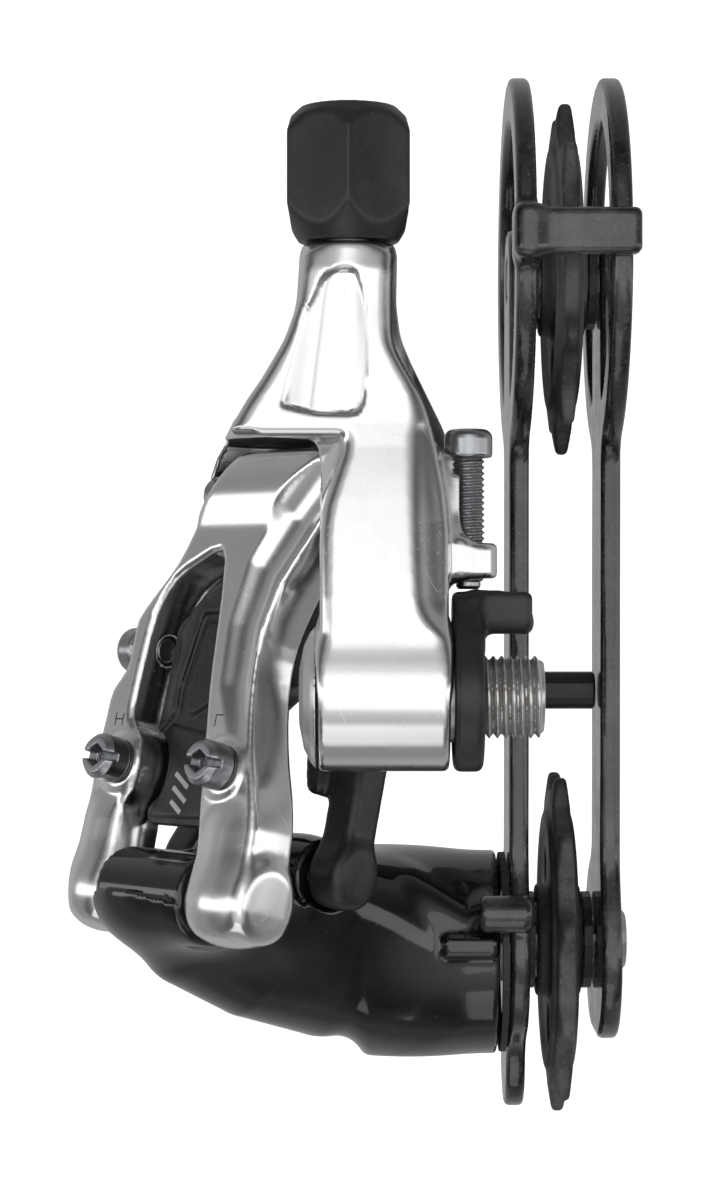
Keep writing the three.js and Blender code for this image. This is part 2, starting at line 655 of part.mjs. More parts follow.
add('hanger_bolt', hangerBolt(), 'satin_alloy');
add('bolt_clip', clip(), 'spring_steel');
add('b_washer', bWasher(), 'satin_black');

add('b_knuckle', bKnuckle(), 'polished_alloy');
add('hanger_bushing', hangerBushing(), 'bronze');
add('outer_rear_pin', linkPin(OUTER_REAR_PIN, -12.8, CLEVIS.outside - 0.6), 'zinc_steel');
add('inner_rear_pin', linkPin(INNER_REAR_PIN, -CLEVIS.outside + 0.6, CLEVIS.inside + 2.8), 'zinc_steel');
add('b_tension_screw', bTensionScrew(), 'zinc_steel');
add('barrel_adjuster', adjusterKnob(), 'satin_black');
add('adjuster_stem', adjusterStem(), 'satin_alloy');

add('outer_link', outerLink(), 'polished_alloy');
add('link_plate', linkPlate(), 'filled_nylon');
add('outer_front_pin', linkPin(frontPin(OUTER_REAR_PIN), -13.6, 17.4), 'zinc_steel');
add('cable_anchor_washer', anchorWasher(), 'zinc_steel');
add('cable_anchor_bolt', anchorBolt(), 'zinc_steel');
add('limit_screw_high', limitScrew(LIMIT_SCREW.highY), 'zinc_steel');
add('limit_screw_low', limitScrew(LIMIT_SCREW.lowY), 'zinc_steel');

add('inner_link', innerLink(), 'filled_nylon');
add('inner_front_pin', linkPin(frontPin(INNER_REAR_PIN), -15.7, 15.7), 'zinc_steel');
add('return_spring', returnSpring(), 'spring_steel');

add('p_knuckle', pKnuckle(), 'gloss_black');
add('cage_bushing', cageBushing(), 'bronze');
add('cage_spring', cageSpring(), 'spring_steel');
add('cage_seal', cageSeal(), 'rubber');

add('cage_axle', cageAxle(), 'zinc_steel');
add('outer_cage_plate', outerCagePlate(), 'carbon');
add('inner_cage_plate', innerCagePlate(), 'carbon');
add('cage_rod', cageRod(), 'satin_black');

for (const [name, centre] of [['guide', GUIDE], ['tension', TENSION]]) {
  add(`${name}_pulley`, pulley(centre), 'worn_resin');
  add(`${name}_bearing`, pulleyBearing(centre), 'zinc_steel');
  add(`${name}_outer_dust_cover`, dustCover(centre, -1), 'filled_nylon');
  add(`${name}_inner_dust_cover`, dustCover(centre, 1), 'filled_nylon');
  add(`${name}_pulley_bolt`, pulleyBolt(centre), 'zinc_steel');
}

export default derailleur;
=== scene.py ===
"""A rear bicycle derailleur, polished and worn, hanging in a plain studio.

Shapes are worked out in millimetres in the frame's own axes: X forward, Y inboard, Z up.
Cast and moulded pieces are smooth solids: each is a distance field that is skinned with quads.
"""

import json
import math
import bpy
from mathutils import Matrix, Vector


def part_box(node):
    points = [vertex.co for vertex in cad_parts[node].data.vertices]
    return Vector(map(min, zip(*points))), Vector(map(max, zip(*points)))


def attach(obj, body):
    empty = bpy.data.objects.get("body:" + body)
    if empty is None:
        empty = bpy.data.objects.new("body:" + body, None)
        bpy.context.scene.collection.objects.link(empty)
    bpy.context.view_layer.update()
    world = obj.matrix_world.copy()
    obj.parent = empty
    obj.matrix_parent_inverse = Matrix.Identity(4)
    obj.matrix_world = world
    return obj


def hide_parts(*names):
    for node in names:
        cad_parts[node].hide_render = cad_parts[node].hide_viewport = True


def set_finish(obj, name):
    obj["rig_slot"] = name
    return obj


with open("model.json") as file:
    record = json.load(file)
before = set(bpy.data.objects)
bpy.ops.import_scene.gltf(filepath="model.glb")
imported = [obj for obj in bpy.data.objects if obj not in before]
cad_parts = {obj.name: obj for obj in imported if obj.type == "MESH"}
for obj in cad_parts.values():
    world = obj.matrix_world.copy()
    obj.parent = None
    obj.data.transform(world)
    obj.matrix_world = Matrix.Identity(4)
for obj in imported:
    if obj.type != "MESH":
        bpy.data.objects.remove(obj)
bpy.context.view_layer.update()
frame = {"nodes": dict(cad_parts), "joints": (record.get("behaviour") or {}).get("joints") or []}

from concurrent.futures import ThreadPoolExecutor

import bmesh
import bpy
import numpy as np
from mathutils import Matrix, Vector

MM = 0.001
workers = ThreadPoolExecutor(4)
SLANT = math.sqrt(0.5)


# ------------------------------------------------------------------ places taken from the frame

def joint(name):
    return next(j for j in frame["joints"] if j["name"] == name)


def joint_place(name):
    return np.array(joint(name)["pos_m"]) / MM


def node_low(name):
    return np.array(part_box(name)[0]) / MM


def node_high(name):
    return np.array(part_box(name)[1]) / MM


X, Y, Z = np.eye(3)
PIN_AXIS = np.array(joint("link_swing")["axis"])
SHIFT_AXIS = np.array([0, SLANT, -SLANT])
OUTER_REAR = joint_place("link_swing")
INNER_REAR = joint_place("inner_link_swing")
OUTER_FRONT = joint_place("cage_knuckle_swing")
INNER_FRONT = INNER_REAR + OUTER_FRONT - OUTER_REAR
PIVOT = joint_place("cage_swing")
GUIDE = joint_place("guide_pulley_spin")
TENSION = joint_place("tension_pulley_spin")
ADJUSTER = joint_place("adjuster_turn")
B_SCREW = joint_place("b_screw_turn")
LINK_Z = np.array(joint("high_screw_turn")["axis"])
LINK_Z = LINK_Z / np.linalg.norm(LINK_Z)
LINK_X = np.cross(PIN_AXIS, LINK_Z)
LINK_LENGTH = float(np.dot(OUTER_FRONT - OUTER_REAR, LINK_X))


# ------------------------------------------------------------------ solids as distance fields

def blended_least(a, b, radius):
    if radius <= 0:
        return np.minimum(a, b)
    overlap = np.maximum(radius - np.abs(a - b), 0) / radius
    return np.minimum(a, b) - overlap * overlap * radius / 4


def joined(*shapes, blend=1.0):
    def field(p):
        d = shapes[0](p)
        for shape in shapes[1:]:
            d = blended_least(d, shape(p), blend)
        return d
    return field


def cut(shape, *tools, blend=0.5):
    def field(p):
        d = shape(p)
        for tool in tools:
            d = -blended_least(-d, tool(p), blend)
        return d
    return field


def shared(*shapes, blend=0.5):
    def field(p):
        d = shapes[0](p)
        for shape in shapes[1:]:
            d = -blended_least(-d, -shape(p), blend)
        return d
    return field


def local(p, frame_of):
    origin, x, y, z = frame_of
    return (p - origin) @ np.column_stack([x, y, z])


def along(origin, direction):
    """A frame whose z runs along a direction."""
    z = np.asarray(direction, float) / np.linalg.norm(direction)
    side = X if abs(z[0]) < 0.9 else Y
    x = np.cross(side, z)
    x = x / np.linalg.norm(x)
    return np.asarray(origin, float), x, np.cross(z, x), z


def corner(a, b, rounding):
    """Distance to the solid bounded by two crossing faces, its edge rounded."""
    a, b = a + rounding, b + rounding
    return np.minimum(np.maximum(a, b), 0) + np.hypot(np.maximum(a, 0), np.maximum(b, 0)) - rounding


def cylinder(start, end, radius, rounding=0.4):
    start, end = np.asarray(start, float), np.asarray(end, float)
    length = np.linalg.norm(end - start)
    place = along((start + end) / 2, end - start)

    def field(p):
        q = local(p, place)
        return corner(np.hypot(q[:, 0], q[:, 1]) - radius, np.abs(q[:, 2]) - length / 2, rounding)
    return field


def capsule(start, end, radius, end_radius=None):
    start, end = np.asarray(start, float), np.asarray(end, float)
    end_radius = radius if end_radius is None else end_radius
    line = end - start

    def field(p):
        t = np.clip((p - start) @ line / (line @ line), 0, 1)
        return np.linalg.norm(p - start - t[:, None] * line, axis=1) - radius - t * (end_radius - radius)
    return field


def block(low, high, frame_of=(np.zeros(3), X, Y, Z), rounding=0.4):
    low, high = np.asarray(low, float), np.asarray(high, float)
    middle, half = (low + high) / 2, (high - low) / 2 - rounding

    def field(p):
        q = np.abs(local(p, frame_of) - middle) - half
        return np.linalg.norm(np.maximum(q, 0), axis=1) + np.minimum(q.max(axis=1), 0) - rounding
    return field


def polygon_distance(x, y, corners):
    corners = np.asarray(corners, float)
    after = np.roll(corners, -1, axis=0)
    nearest = np.full(x.shape, 1e9)
    inside = np.zeros(x.shape, bool)
    for (ax, ay), (bx, by) in zip(corners, after):
        ex, ey = bx - ax, by - ay
        if ex == 0 and ey == 0:
            continue
        t = np.clip(((x - ax) * ex + (y - ay) * ey) / (ex * ex + ey * ey), 0, 1)
        nearest = np.minimum(nearest, (x - ax - t * ex) ** 2 + (y - ay - t * ey) ** 2)
        if ay != by:
            crossing = (ay > y) != (by > y)
            inside ^= crossing & (x < (bx - ax) * (y - ay) / (by - ay) + ax)
    return np.where(inside, -1, 1) * np.sqrt(nearest)


def rounded_corners(corners, radius, steps=2):
    """The outline with its corners turned into short curves."""
    corners = np.asarray(corners, float)
    made = []
    for before, here, after in zip(np.roll(corners, 1, 0), corners, np.roll(corners, -1, 0)):
        into, out = before - here, after - here
        reach = min(radius, 0.45 * np.linalg.norm(into), 0.45 * np.linalg.norm(out))
        a = here + into / np.linalg.norm(into) * reach
        b = here + out / np.linalg.norm(out) * reach
        for i in range(steps + 1):
            t = i / steps
            made.append((1 - t) ** 2 * a + 2 * t * (1 - t) * here + t * t * b)
    return np.array(made)


def prism(corners, low, high, frame_of, rounding=0.5):
    """A flat outline in the frame's x and y, between two heights along its z."""
    middle, half = (low + high) / 2, (high - low) / 2

    def field(p):
        q = local(p, frame_of)
        return corner(polygon_distance(q[:, 0], q[:, 1], corners), np.abs(q[:, 2] - middle) - half, rounding)
    return field


def turned(profile, frame_of):
    """A turned solid: profile corners are (radius, height along z)."""
    def field(p):
        q = local(p, frame_of)
        radius = np.hypot(q[:, 0], q[:, 1])
        both = np.vstack([np.array(profile, float), [(-r, h) for r, h in reversed(profile)]])
        return polygon_distance(radius, q[:, 2], both)
    return field


def ring(place, inner, outer, low, high, rounding=0.3):
    def field(p):
        q = local(p, place)
        radius = np.hypot(q[:, 0], q[:, 1])
        wall = np.abs(radius - (inner + outer) / 2) - (outer - inner) / 2
        return corner(wall, np.abs(q[:, 2] - (low + high) / 2) - (high - low) / 2, rounding)
    return field


def facetted(points, rounding=0.8):
    """The tight skin over some points, with flat faces and rounded edges."""
    shell = bmesh.new()
    for point in points:
        shell.verts.new(point)
    bmesh.ops.convex_hull(shell, input=shell.verts)
    shell.normal_update()
    faces = {}
    for face in shell.faces:
        key = tuple(round(c, 2) for c in face.normal)
        faces[key] = (np.array(face.normal), float(face.normal.dot(face.verts[0].co)))
    shell.free()
    planes = list(faces.values())

    def field(p):
        d = p @ planes[0][0] - planes[0][1]
        for normal, reach in planes[1:]:
            d = -blended_least(-d, -(p @ normal - reach), rounding)
        return d
    return field


# ------------------------------------------------------------------ skinning

def near_samples(shape, low, cell, counts):
    """The field on a grid, worked out only near the surface."""
    step = 4
    blocks = [(n + step - 1) // step for n in counts]
    centres = [low[i] + (np.arange(blocks[i]) * step + (step - 1) / 2) * cell for i in range(3)]
    grid = np.stack(np.meshgrid(*centres, indexing="ij"), -1).reshape(-1, 3)
    coarse = shape(grid).reshape(blocks)
    near = np.abs(coarse) < cell * step * 1.35
    spread = near.copy()
    for axis in range(3):
        for way in (1, -1):
            rolled = np.roll(near, way, axis)
            edge = [slice(None)] * 3
            edge[axis] = 0 if way == 1 else -1
            rolled[tuple(edge)] = False
            spread |= rolled
        near = spread.copy()
    full = [slice(0, n) for n in counts]
    values = coarse
    wanted = spread
    for axis in range(3):
        values = np.repeat(values, step, axis)
        wanted = np.repeat(wanted, step, axis)
    values, wanted = values[tuple(full)].copy(), wanted[tuple(full)]
    where = np.argwhere(wanted)
    values[wanted] = shape(low + where * cell)
    return values


def net(values, low, cell):
    """Vertices and quads of the zero surface, one vertex to a cell."""
    inside = values < 0
    shape = np.array(values.shape) - 1
    corners = [(i, j, k) for i in (0, 1) for j in (0, 1) for k in (0, 1)]
    def at(array, c):
        return array[c[0]:c[0] + shape[0], c[1]:c[1] + shape[1], c[2]:c[2] + shape[2]]
    count = sum(at(inside, c).astype(np.int8) for c in corners)
    active = (count > 0) & (count < 8)
    cells = np.argwhere(active)
    number = np.full(active.shape, -1, np.int64)
    number[active] = np.arange(len(cells))
    total, hits = np.zeros((len(cells), 3)), np.zeros(len(cells))
    for a in corners:
        for axis in range(3):
            if a[axis]:
                continue
            b = list(a)
            b[axis] = 1
            va, vb = at(values, a)[active], at(values, b)[active]
            crossed = (va < 0) != (vb < 0)
            t = np.where(crossed, va / np.where(crossed, va - vb, 1), 0)
            place = np.tile(np.array(a, float), (len(cells), 1))
            place[:, axis] = t
            total += place * crossed[:, None]
            hits += crossed
    verts = low + (cells + total / hits[:, None]) * cell
    quads = []
    for axis in range(3):
        u, v = (axis + 1) % 3, (axis + 2) % 3
        here = [slice(None)] * 3
        there = [slice(None)] * 3
        here[axis], there[axis] = slice(0, -1), slice(1, None)
        first, second = inside[tuple(here)], inside[tuple(there)]
        for forward in (True, False):
            edges = np.argwhere(first & ~second if forward else ~first & second)
            good = (edges[:, u] > 0) & (edges[:, v] > 0)
            good &= (edges[:, u] < shape[u]) & (edges[:, v] < shape[v])
            edges = edges[good]
            ring_of = []
            for du, dv in ((1, 1), (0, 1), (0, 0), (1, 0)):
                cell_at = edges.copy()
                cell_at[:, u] -= du
                cell_at[:, v] -= dv
                ring_of.append(number[cell_at[:, 0], cell_at[:, 1], cell_at[:, 2]])
            quad = np.column_stack(ring_of)
            quads.append(quad if forward else quad[:, ::-1])
    return verts, np.vstack(quads)


def slope(shape, p, step):
    ways = np.array([(1, -1, -1), (-1, -1, 1), (-1, 1, -1), (1, 1, 1)])
    return sum(shape(p + step * way)[:, None] * way for way in ways) / (4 * step)


def settled(shape, verts, cell, rounds=2):
    """The vertices moved onto the true surface."""
    for _ in range(rounds):
        g = slope(shape, verts, cell * 0.15)
        size = np.maximum((g * g).sum(1), 0.15)
        move = -shape(verts)[:, None] * g / size[:, None]
        length = np.linalg.norm(move, axis=1, keepdims=True)
        verts = verts + move * np.minimum(1, 0.6 * cell / np.maximum(length, 1e-9))
    return verts


def evened(shape, verts, quads, cell):
    """The vertices spread evenly over the surface, and back on it."""
    ends = np.vstack([quads[:, [i, (i + 1) % 4]] for i in range(4)])
    total = np.zeros_like(verts)
    count = np.zeros(len(verts))
    for a, b in ((0, 1), (1, 0)):
        np.add.at(total, ends[:, a], verts[ends[:, b]])
        np.add.at(count, ends[:, a], 1)
    pull = total / np.maximum(count, 1)[:, None] - verts
    g = slope(shape, verts, cell * 0.15)
    normal = g / np.maximum(np.linalg.norm(g, axis=1, keepdims=True), 1e-9)
    pull -= (pull * normal).sum(1, keepdims=True) * normal
    return settled(shape, verts + 0.6 * pull, cell, 1)


def shared_out(shape):
    """The field worked out in small lots, several at a time."""
    def field(p):
        lots = np.array_split(p, max(1, len(p) // 6000))
        return np.concatenate(list(workers.map(shape, lots)))
    return field


def skin(name, shape, low, high, cell=0.45):
    """A mesh object of the solid, with how sharp and how hollow it is at each point."""
    shape = shared_out(shape)
    low = np.asarray(low, float) - 3 * cell
    high = np.asarray(high, float) + 3 * cell
    counts = np.ceil((high - low) / cell).astype(int) + 1
    verts, quads = net(near_samples(shape, low, cell, counts), low, cell)
    verts = evened(shape, settled(shape, verts, cell), quads, cell)
    g = slope(shape, verts, cell * 0.15)
    normal = g / np.maximum(np.linalg.norm(g, axis=1, keepdims=True), 1e-9)
    depth = 0.7
    edge = np.clip(1 + shape(verts - depth * normal) / depth, 0, 1)
    hollow = np.clip(1 - shape(verts + depth * normal) / depth, 0, 1)
    mesh = bpy.data.meshes.new(name)
    mesh.from_pydata((verts * MM).tolist(), [], quads.tolist())
    for label, value in (("edge", edge), ("hollow", hollow)):
        mesh.attributes.new(label, "FLOAT", "POINT").data.foreach_set("value", value.astype(np.float32))
    mesh.shade_smooth()
    piece = bpy.data.objects.new(name, mesh)
    bpy.context.scene.collection.objects.link(piece)
    return piece


def swept(path, radii):
    """A tube along a path, its radius changing from point to point."""
    path = [np.asarray(p, float) for p in path]
    parts = [capsule(a, b, r, s) for a, b, r, s in zip(path, path[1:], radii, radii[1:])]
    return joined(*parts, blend=0)


def half(point, outward):
    outward = np.asarray(outward, float) / np.linalg.norm(outward)
    return lambda p: (p - np.asarray(point, float)) @ outward


def threaded(place, radius, depth, pitch, low, high):
    """A screw thread: the radius dips along a helix round the frame's z."""
    def field(p):
        q = local(p, place)
        turn = q[:, 2] / pitch - np.arctan2(q[:, 1], q[:, 0]) / (2 * math.pi)
        dip = np.abs(2 * (turn - np.floor(turn)) - 1)
        r = radius - depth * np.clip(1.25 * dip - 0.12, 0, 1)
        ends = np.maximum(low - q[:, 2], q[:, 2] - high)
        lead = np.maximum(np.minimum(q[:, 2] - low, high - q[:, 2]), 0)
        r = np.minimum(r, radius - depth + lead * 1.2)
        return np.maximum((np.hypot(q[:, 0], q[:, 1]) - r) * 0.8, ends)
    return field


def hexagonal(place, across, low, high, rounding=0.1):
    corners = [(across / math.sqrt(3) * math.cos(a), across / math.sqrt(3) * math.sin(a))
               for a in np.arange(6) * math.pi / 3]
    return prism(corners, low, high, place, rounding)


def flat(outline_field, low, high, rounding=0.5):
    """A plate lying in X and Z, between two heights along Y."""
    def field(p):
        side = np.abs(p[:, 1] - (low + high) / 2) - (high - low) / 2
        return corner(outline_field(p[:, 0], p[:, 2]), side, rounding)
    return field


def outlined(corners, radius):
    corners = rounded_corners(corners, radius)
    return lambda x, z: polygon_distance(x, z, corners)


def bar(a, b, ra, rb):
    """A flat bar with round ends, from one radius to another."""
    a, b = np.asarray(a, float), np.asarray(b, float)
    line = b - a

    def field(x, z):
        t = np.clip(((x - a[0]) * line[0] + (z - a[1]) * line[1]) / (line @ line), 0, 1)
        return np.hypot(x - a[0] - t * line[0], z - a[1] - t * line[1]) - ra - t * (rb - ra)
    return field


def bars_joined(*bars, blend):
    def field(x, z):
        d = bars[0](x, z)
        for other in bars[1:]:
            d = blended_least(d, other(x, z), blend)
        return d
    return field


def bars_cut(outer, hole, blend):
    return lambda x, z: -blended_least(-outer(x, z), hole(x, z), blend)


# ------------------------------------------------------------------ frames of the moving links

OUTER_LINK = (OUTER_REAR, LINK_X, PIN_AXIS, LINK_Z)
INNER_LINK = (INNER_REAR, LINK_X, PIN_AXIS, LINK_Z)
FORK = (OUTER_REAR, X, PIN_AXIS, -SHIFT_AXIS)
SEEN_FROM_ABOVE = (np.zeros(3), X, Y, Z)
SEEN_FROM_SIDE = (np.zeros(3), X, Z, -Y)


def at(frame_of, x, y, z):
    origin, fx, fy, fz = frame_of
    return origin + x * fx + y * fy + z * fz


def turned_by(vector, axis, angle):
    axis = axis / np.linalg.norm(axis)
    c, s = math.cos(angle), math.sin(angle)
    return vector * c + np.cross(axis, vector) * s + axis * (axis @ vector) * (1 - c)


TRAVEL = math.radians(joint("link_swing")["range_deg"][1])


def sweep(pin, towards, width, low, high, reach, steps=4):
    """The room that a link sweeps as it swings about one of its pins."""
    rooms = []
    for i in range(steps + 1):
        x = turned_by(LINK_X, PIN_AXIS, TRAVEL * i / steps) * towards
        z = np.cross(x, PIN_AXIS)
        rooms.append(block((0, low, -width), (reach, high, width), (pin, x, PIN_AXIS, z), 0.2))
    return joined(*rooms, blend=0)


# ------------------------------------------------------------------ the pieces

BOSS_OUTER, BOSS_INNER = -19.8, -4.1
NECK_Y, NECK_Z = ADJUSTER[1], ADJUSTER[2]
made = {}


def piece(name, body, slot, shape, low, high, cell=0.45):
    """The fine shape of one drawn piece, riding on its body."""
    thing = skin(name, shape, low, high, cell)
    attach(thing, body)
    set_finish(thing, slot)
    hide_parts(name.removesuffix("_form"))
    made[name] = thing


def knuckle_form():
    """The upper knuckle: adjuster neck, hanger boss, clevis for the links, and screw lug."""
    boss = cylinder((0, BOSS_OUTER, 0), (0, BOSS_INNER, 0), 8.95, 0.7)
    neck = cylinder((-54.7, NECK_Y, NECK_Z), (-38, NECK_Y, NECK_Z), 5.5, 0.6)
    plan = [
        (-54.4, -10.9), (-47.8, -11.2), (-43, -11.1), (-40.6, -9.9), (-38.2, -8.5), (-35.8, -7.2),
        (-31, -5.8), (-25, -4.7), (-20, -4.2), (0, -4.2), (0, -19.6), (-19.5, -19.6), (-23, -19.2),
        (-27, -17.9), (-29.8, -17), (-31.2, -17), (-31.2, -31), (-35.8, -28.4), (-38.2, -26.7),
        (-43, -23.9), (-47.8, -22.2), (-54.4, -21.4),
    ]
    side = [
        (-54.4, 2.4), (-40, 2.5), (-33, 3.1), (-24, 4.9), (-12, 7.1), (-3, 7.9), (0, 7.9), (0, -8),
        (-6, -8.4), (-30, -7.2), (-54.4, -8.4),
    ]
    body = shared(
        prism(rounded_corners(plan, 1.2), -12, 12, SEEN_FROM_ABOVE, 0.5),
        prism(rounded_corners(side, 3), -3, 40, SEEN_FROM_SIDE, 0.5),
        blend=1.9,
    )
    flare = facetted([at(FORK, *p) for p in [
        (-21, 10.5, -1), (-21, 19.5, -1), (-21, 10.5, 7.2), (-21, 19.5, 7.2),
        (-6, -16.4, 4.6), (5, -16.4, 4), (5, -16.4, -5), (-9.5, -16.4, -2),
        (-6, 16.4, 5), (5, 16.4, 4.6), (5, 16.4, -5), (-10, 11, -10),
        (2.4, -16.4, -21.4), (-5.4, -16.4, -21.4), (2.4, 11.3, -21.4), (-5.4, 11.3, -21.4),
    ]], 2.4)
    silhouette = [
        (-60, -22.2), (-47.8, -22.8), (-43, -24.2), (-38.2, -27.6), (-34.3, -30.9), (-30, -33.2),
        (-25.5, -34.6), (-17, -35.2), (-12, -35.2), (-12, -20.4), (20, -20.4), (20, -3), (-60, -3),
    ]
    trimmed = shared(flare, prism(silhouette, -70, 30, SEEN_FROM_ABOVE, 0.4), blend=1.6)
    lug = joined(
        cylinder((-18.6, -1.6, -4), (-14.3, -1.6, -4), 3.5, 0.6),
        block((-19.2, -8, -7.4), (-14.3, -1.8, 0.4), rounding=0.8),
        blend=1.5,
    )
    guard = cylinder((-29.5, -4.6, -4.4), (-18, -4.6, -4.4), 3.6, 0.8)
    scoop = prism(rounded_corners([
        (-51.6, -16.7), (-50.8, -19.1), (-47.6, -20.4), (-45, -22.1), (-35.1, -25.1), (-34.0, -20),
        (-33.9, -14.9), (-37.4, -14), (-41.7, -13.6), (-48, -14.2), (-51.2, -15.3),
    ], 1.2), -8, 8, SEEN_FROM_ABOVE, 0.3)
    floor = swept([(-55, -16.9, 6.8), (-34, -19.2, 6.7)], (5.0, 6.4))
    flank = swept([(-42, -7.6, 6.2), (-32, -4.2, 7.2), (-22, -3.0, 8.8), (-13, -2.6, 10.6)],
                  (3.2, 5.6, 6.2, 6.4))
    whole = joined(body, neck, trimmed, lug, guard, blend=2.2)
    whole = cut(whole, flank, blend=1.0)
    whole = joined(whole, boss, blend=1.8)
    whole = cut(whole, shared(scoop, floor, blend=0.3), blend=0.35)
    inside, outside = 11.3, 16.6
    slot = block((-7, -inside, -37), (14.5, inside, 26), FORK, 0.3)
    boss_room = cylinder((0, BOSS_OUTER, 0), (0, BOSS_INNER, 0), 9.1, 0.3)
    swings = [sweep(OUTER_REAR, 1, 4, -24, 7.9, 40), sweep(INNER_REAR, 1, 3.2, -26, 9.4, 40)]
    screw_hole = cylinder((-40, -1.6, -4), (0, -1.6, -4), 2.25, 0.1)
    head_room = cylinder((-37, -1.6, -4), (-27, -1.6, -4), 3.5, 0.2)
    thread_room = cylinder((-28, -1.2, -4), (-19.2, -1.2, -4), 2.9, 0.2)
    return cut(
        whole,
        cut(slot, boss_room, blend=0),
        *[cut(swing, boss_room, blend=0) for swing in swings],
        cylinder((0, -30, 0), (0, 10, 0), 7.45, 0.1),
        cylinder(at(FORK, 0, -outside - 3, 0), at(FORK, 0, outside + 3, 0), 2.55, 0.1),
        cylinder(at(FORK, -2, -outside - 3, -17), at(FORK, -2, inside + 3, -17), 2.55, 0.1),
        cylinder((-60, NECK_Y, NECK_Z), (-40.2, NECK_Y, NECK_Z), 3.3, 0.1),
        screw_hole, head_room, thread_room,
        blend=0.35,
    )


LINK_TOP = 4.2


def outer_link_form():
    """The outer link: a rear eye and two arms, scooped along the top."""
    plan = [
        (-4.4, -4.6), (3.7, -10.2), (9.8, -12.8), (14.6, -16.8), (17.3, -18.9), (24, -18.9), (26.5, -21.2),
        (34, -21.6), (53.6, -21.4), (55.8, -19.6), (55.8, -16.6), (52, -15.3), (41.4, -15.3), (39.4, -13.4),
        (36, -12.8), (32.6, -13.4), (30.4, -16.4), (24.8, -16.2), (16.8, -15.6), (11.8, -13), (7.6, -4.7),
        (14.6, -3.7), (25, -2.9), (40, -0.6), (47, 0.8), (54, 1), (56.4, 3), (56.4, 8), (54.4, 10.2),
        (43, 10.2), (38, 8.8), (34.2, 7.2), (29, 5.6), (24, 4.8), (19.3, 4.9), (12.5, 7.4), (8, 10),
        (4, 10.9), (-4.4, 10.9),
    ]
    web = prism(rounded_corners(plan, 2.2), -3.3, LINK_TOP, OUTER_LINK, 0.9)
    rear = cylinder(at(OUTER_LINK, 0, -10.9, 0), at(OUTER_LINK, 0, 10.9, 0), 5.2, 0.8)
    rear = shared(rear, half(at(OUTER_LINK, -1.5, -6.6, 0), 0.57 * -LINK_X - 0.82 * PIN_AXIS), blend=1)
    length = LINK_LENGTH
    front = [
        cylinder(at(OUTER_LINK, length, lo, 0), at(OUTER_LINK, length, hi, 0), 4.9, 1.4)
        for lo, hi in ((0.9, 10.9), (-21.5, -15.4))
    ]
    floor = prism([(6, -6), (13, -13.6), (17, -15.5), (42, -15.8), (42, -1), (30, -2), (9, -3.6)],
                  -3.2, -1.6, OUTER_LINK, 0.3)
    valley = swept(
        [at(OUTER_LINK, *p) for p in [(-2, 14.2, 8.2), (5, 7.6, 7.4), (11, 3.9, 7.5), (18, 2.4, 7.7),
                                      (25, 2.7, 7.8), (32, 5.2, 8.2), (38, 8.4, 9.6)]],
        (5.0, 4.7, 4.5, 4.5, 4.5, 4.3, 4.2),
    )
    flank = swept(
        [at(OUTER_LINK, *p) for p in [(2, 17.5, 5), (12.5, 12.6, 4.4), (22, 9.9, 3.6), (31, 11.8, 3.4),
                                      (38, 15.5, 3.6)]],
        (4.6, 4.8, 4.8, 4.8, 4.6),
    )
    screw_seats = [
        cylinder(at(OUTER_LINK, 36, y, -3.3), at(OUTER_LINK, 36, y, 4.6), 3.6, 0.5) for y in (-16.4, 3)
    ]
    tips = [
        capsule(at(OUTER_LINK, 44, y, 0.4), at(OUTER_LINK, length + 0.8, y, 0.6), 3.8, 4.3)
        for y in (5.2, -18.4)
    ]
    whole = joined(web, rear, *front, *tips, blend=2.2)
    whole = cut(whole, valley, blend=0.5)
    whole = cut(whole, flank, blend=0.8)
    whole = joined(whole, floor, *screw_seats, blend=0.8)
    whole = shared(whole, half((0, node_low("outer_link")[1] + 0.1, 0), -Y), blend=0.6)
    return cut(
        whole,
        cylinder(at(OUTER_LINK, 0, -14, 0), at(OUTER_LINK, 0, 14, 0), 2.7, 0.1),
        cylinder(at(OUTER_LINK, length, -21.1, 0), at(OUTER_LINK, length, 9.95, 0), 2.55, 0.1),
        cylinder(at(OUTER_LINK, 20.6, -30, 0), at(OUTER_LINK, 20.6, -14.2, 0), 1.95, 0.1),
        *[cylinder(at(OUTER_LINK, 36, y, -12), at(OUTER_LINK, 36, y, 12), 2.25, 0.1) for y in (-16.4, 3)],
        blend=0.3,
    )


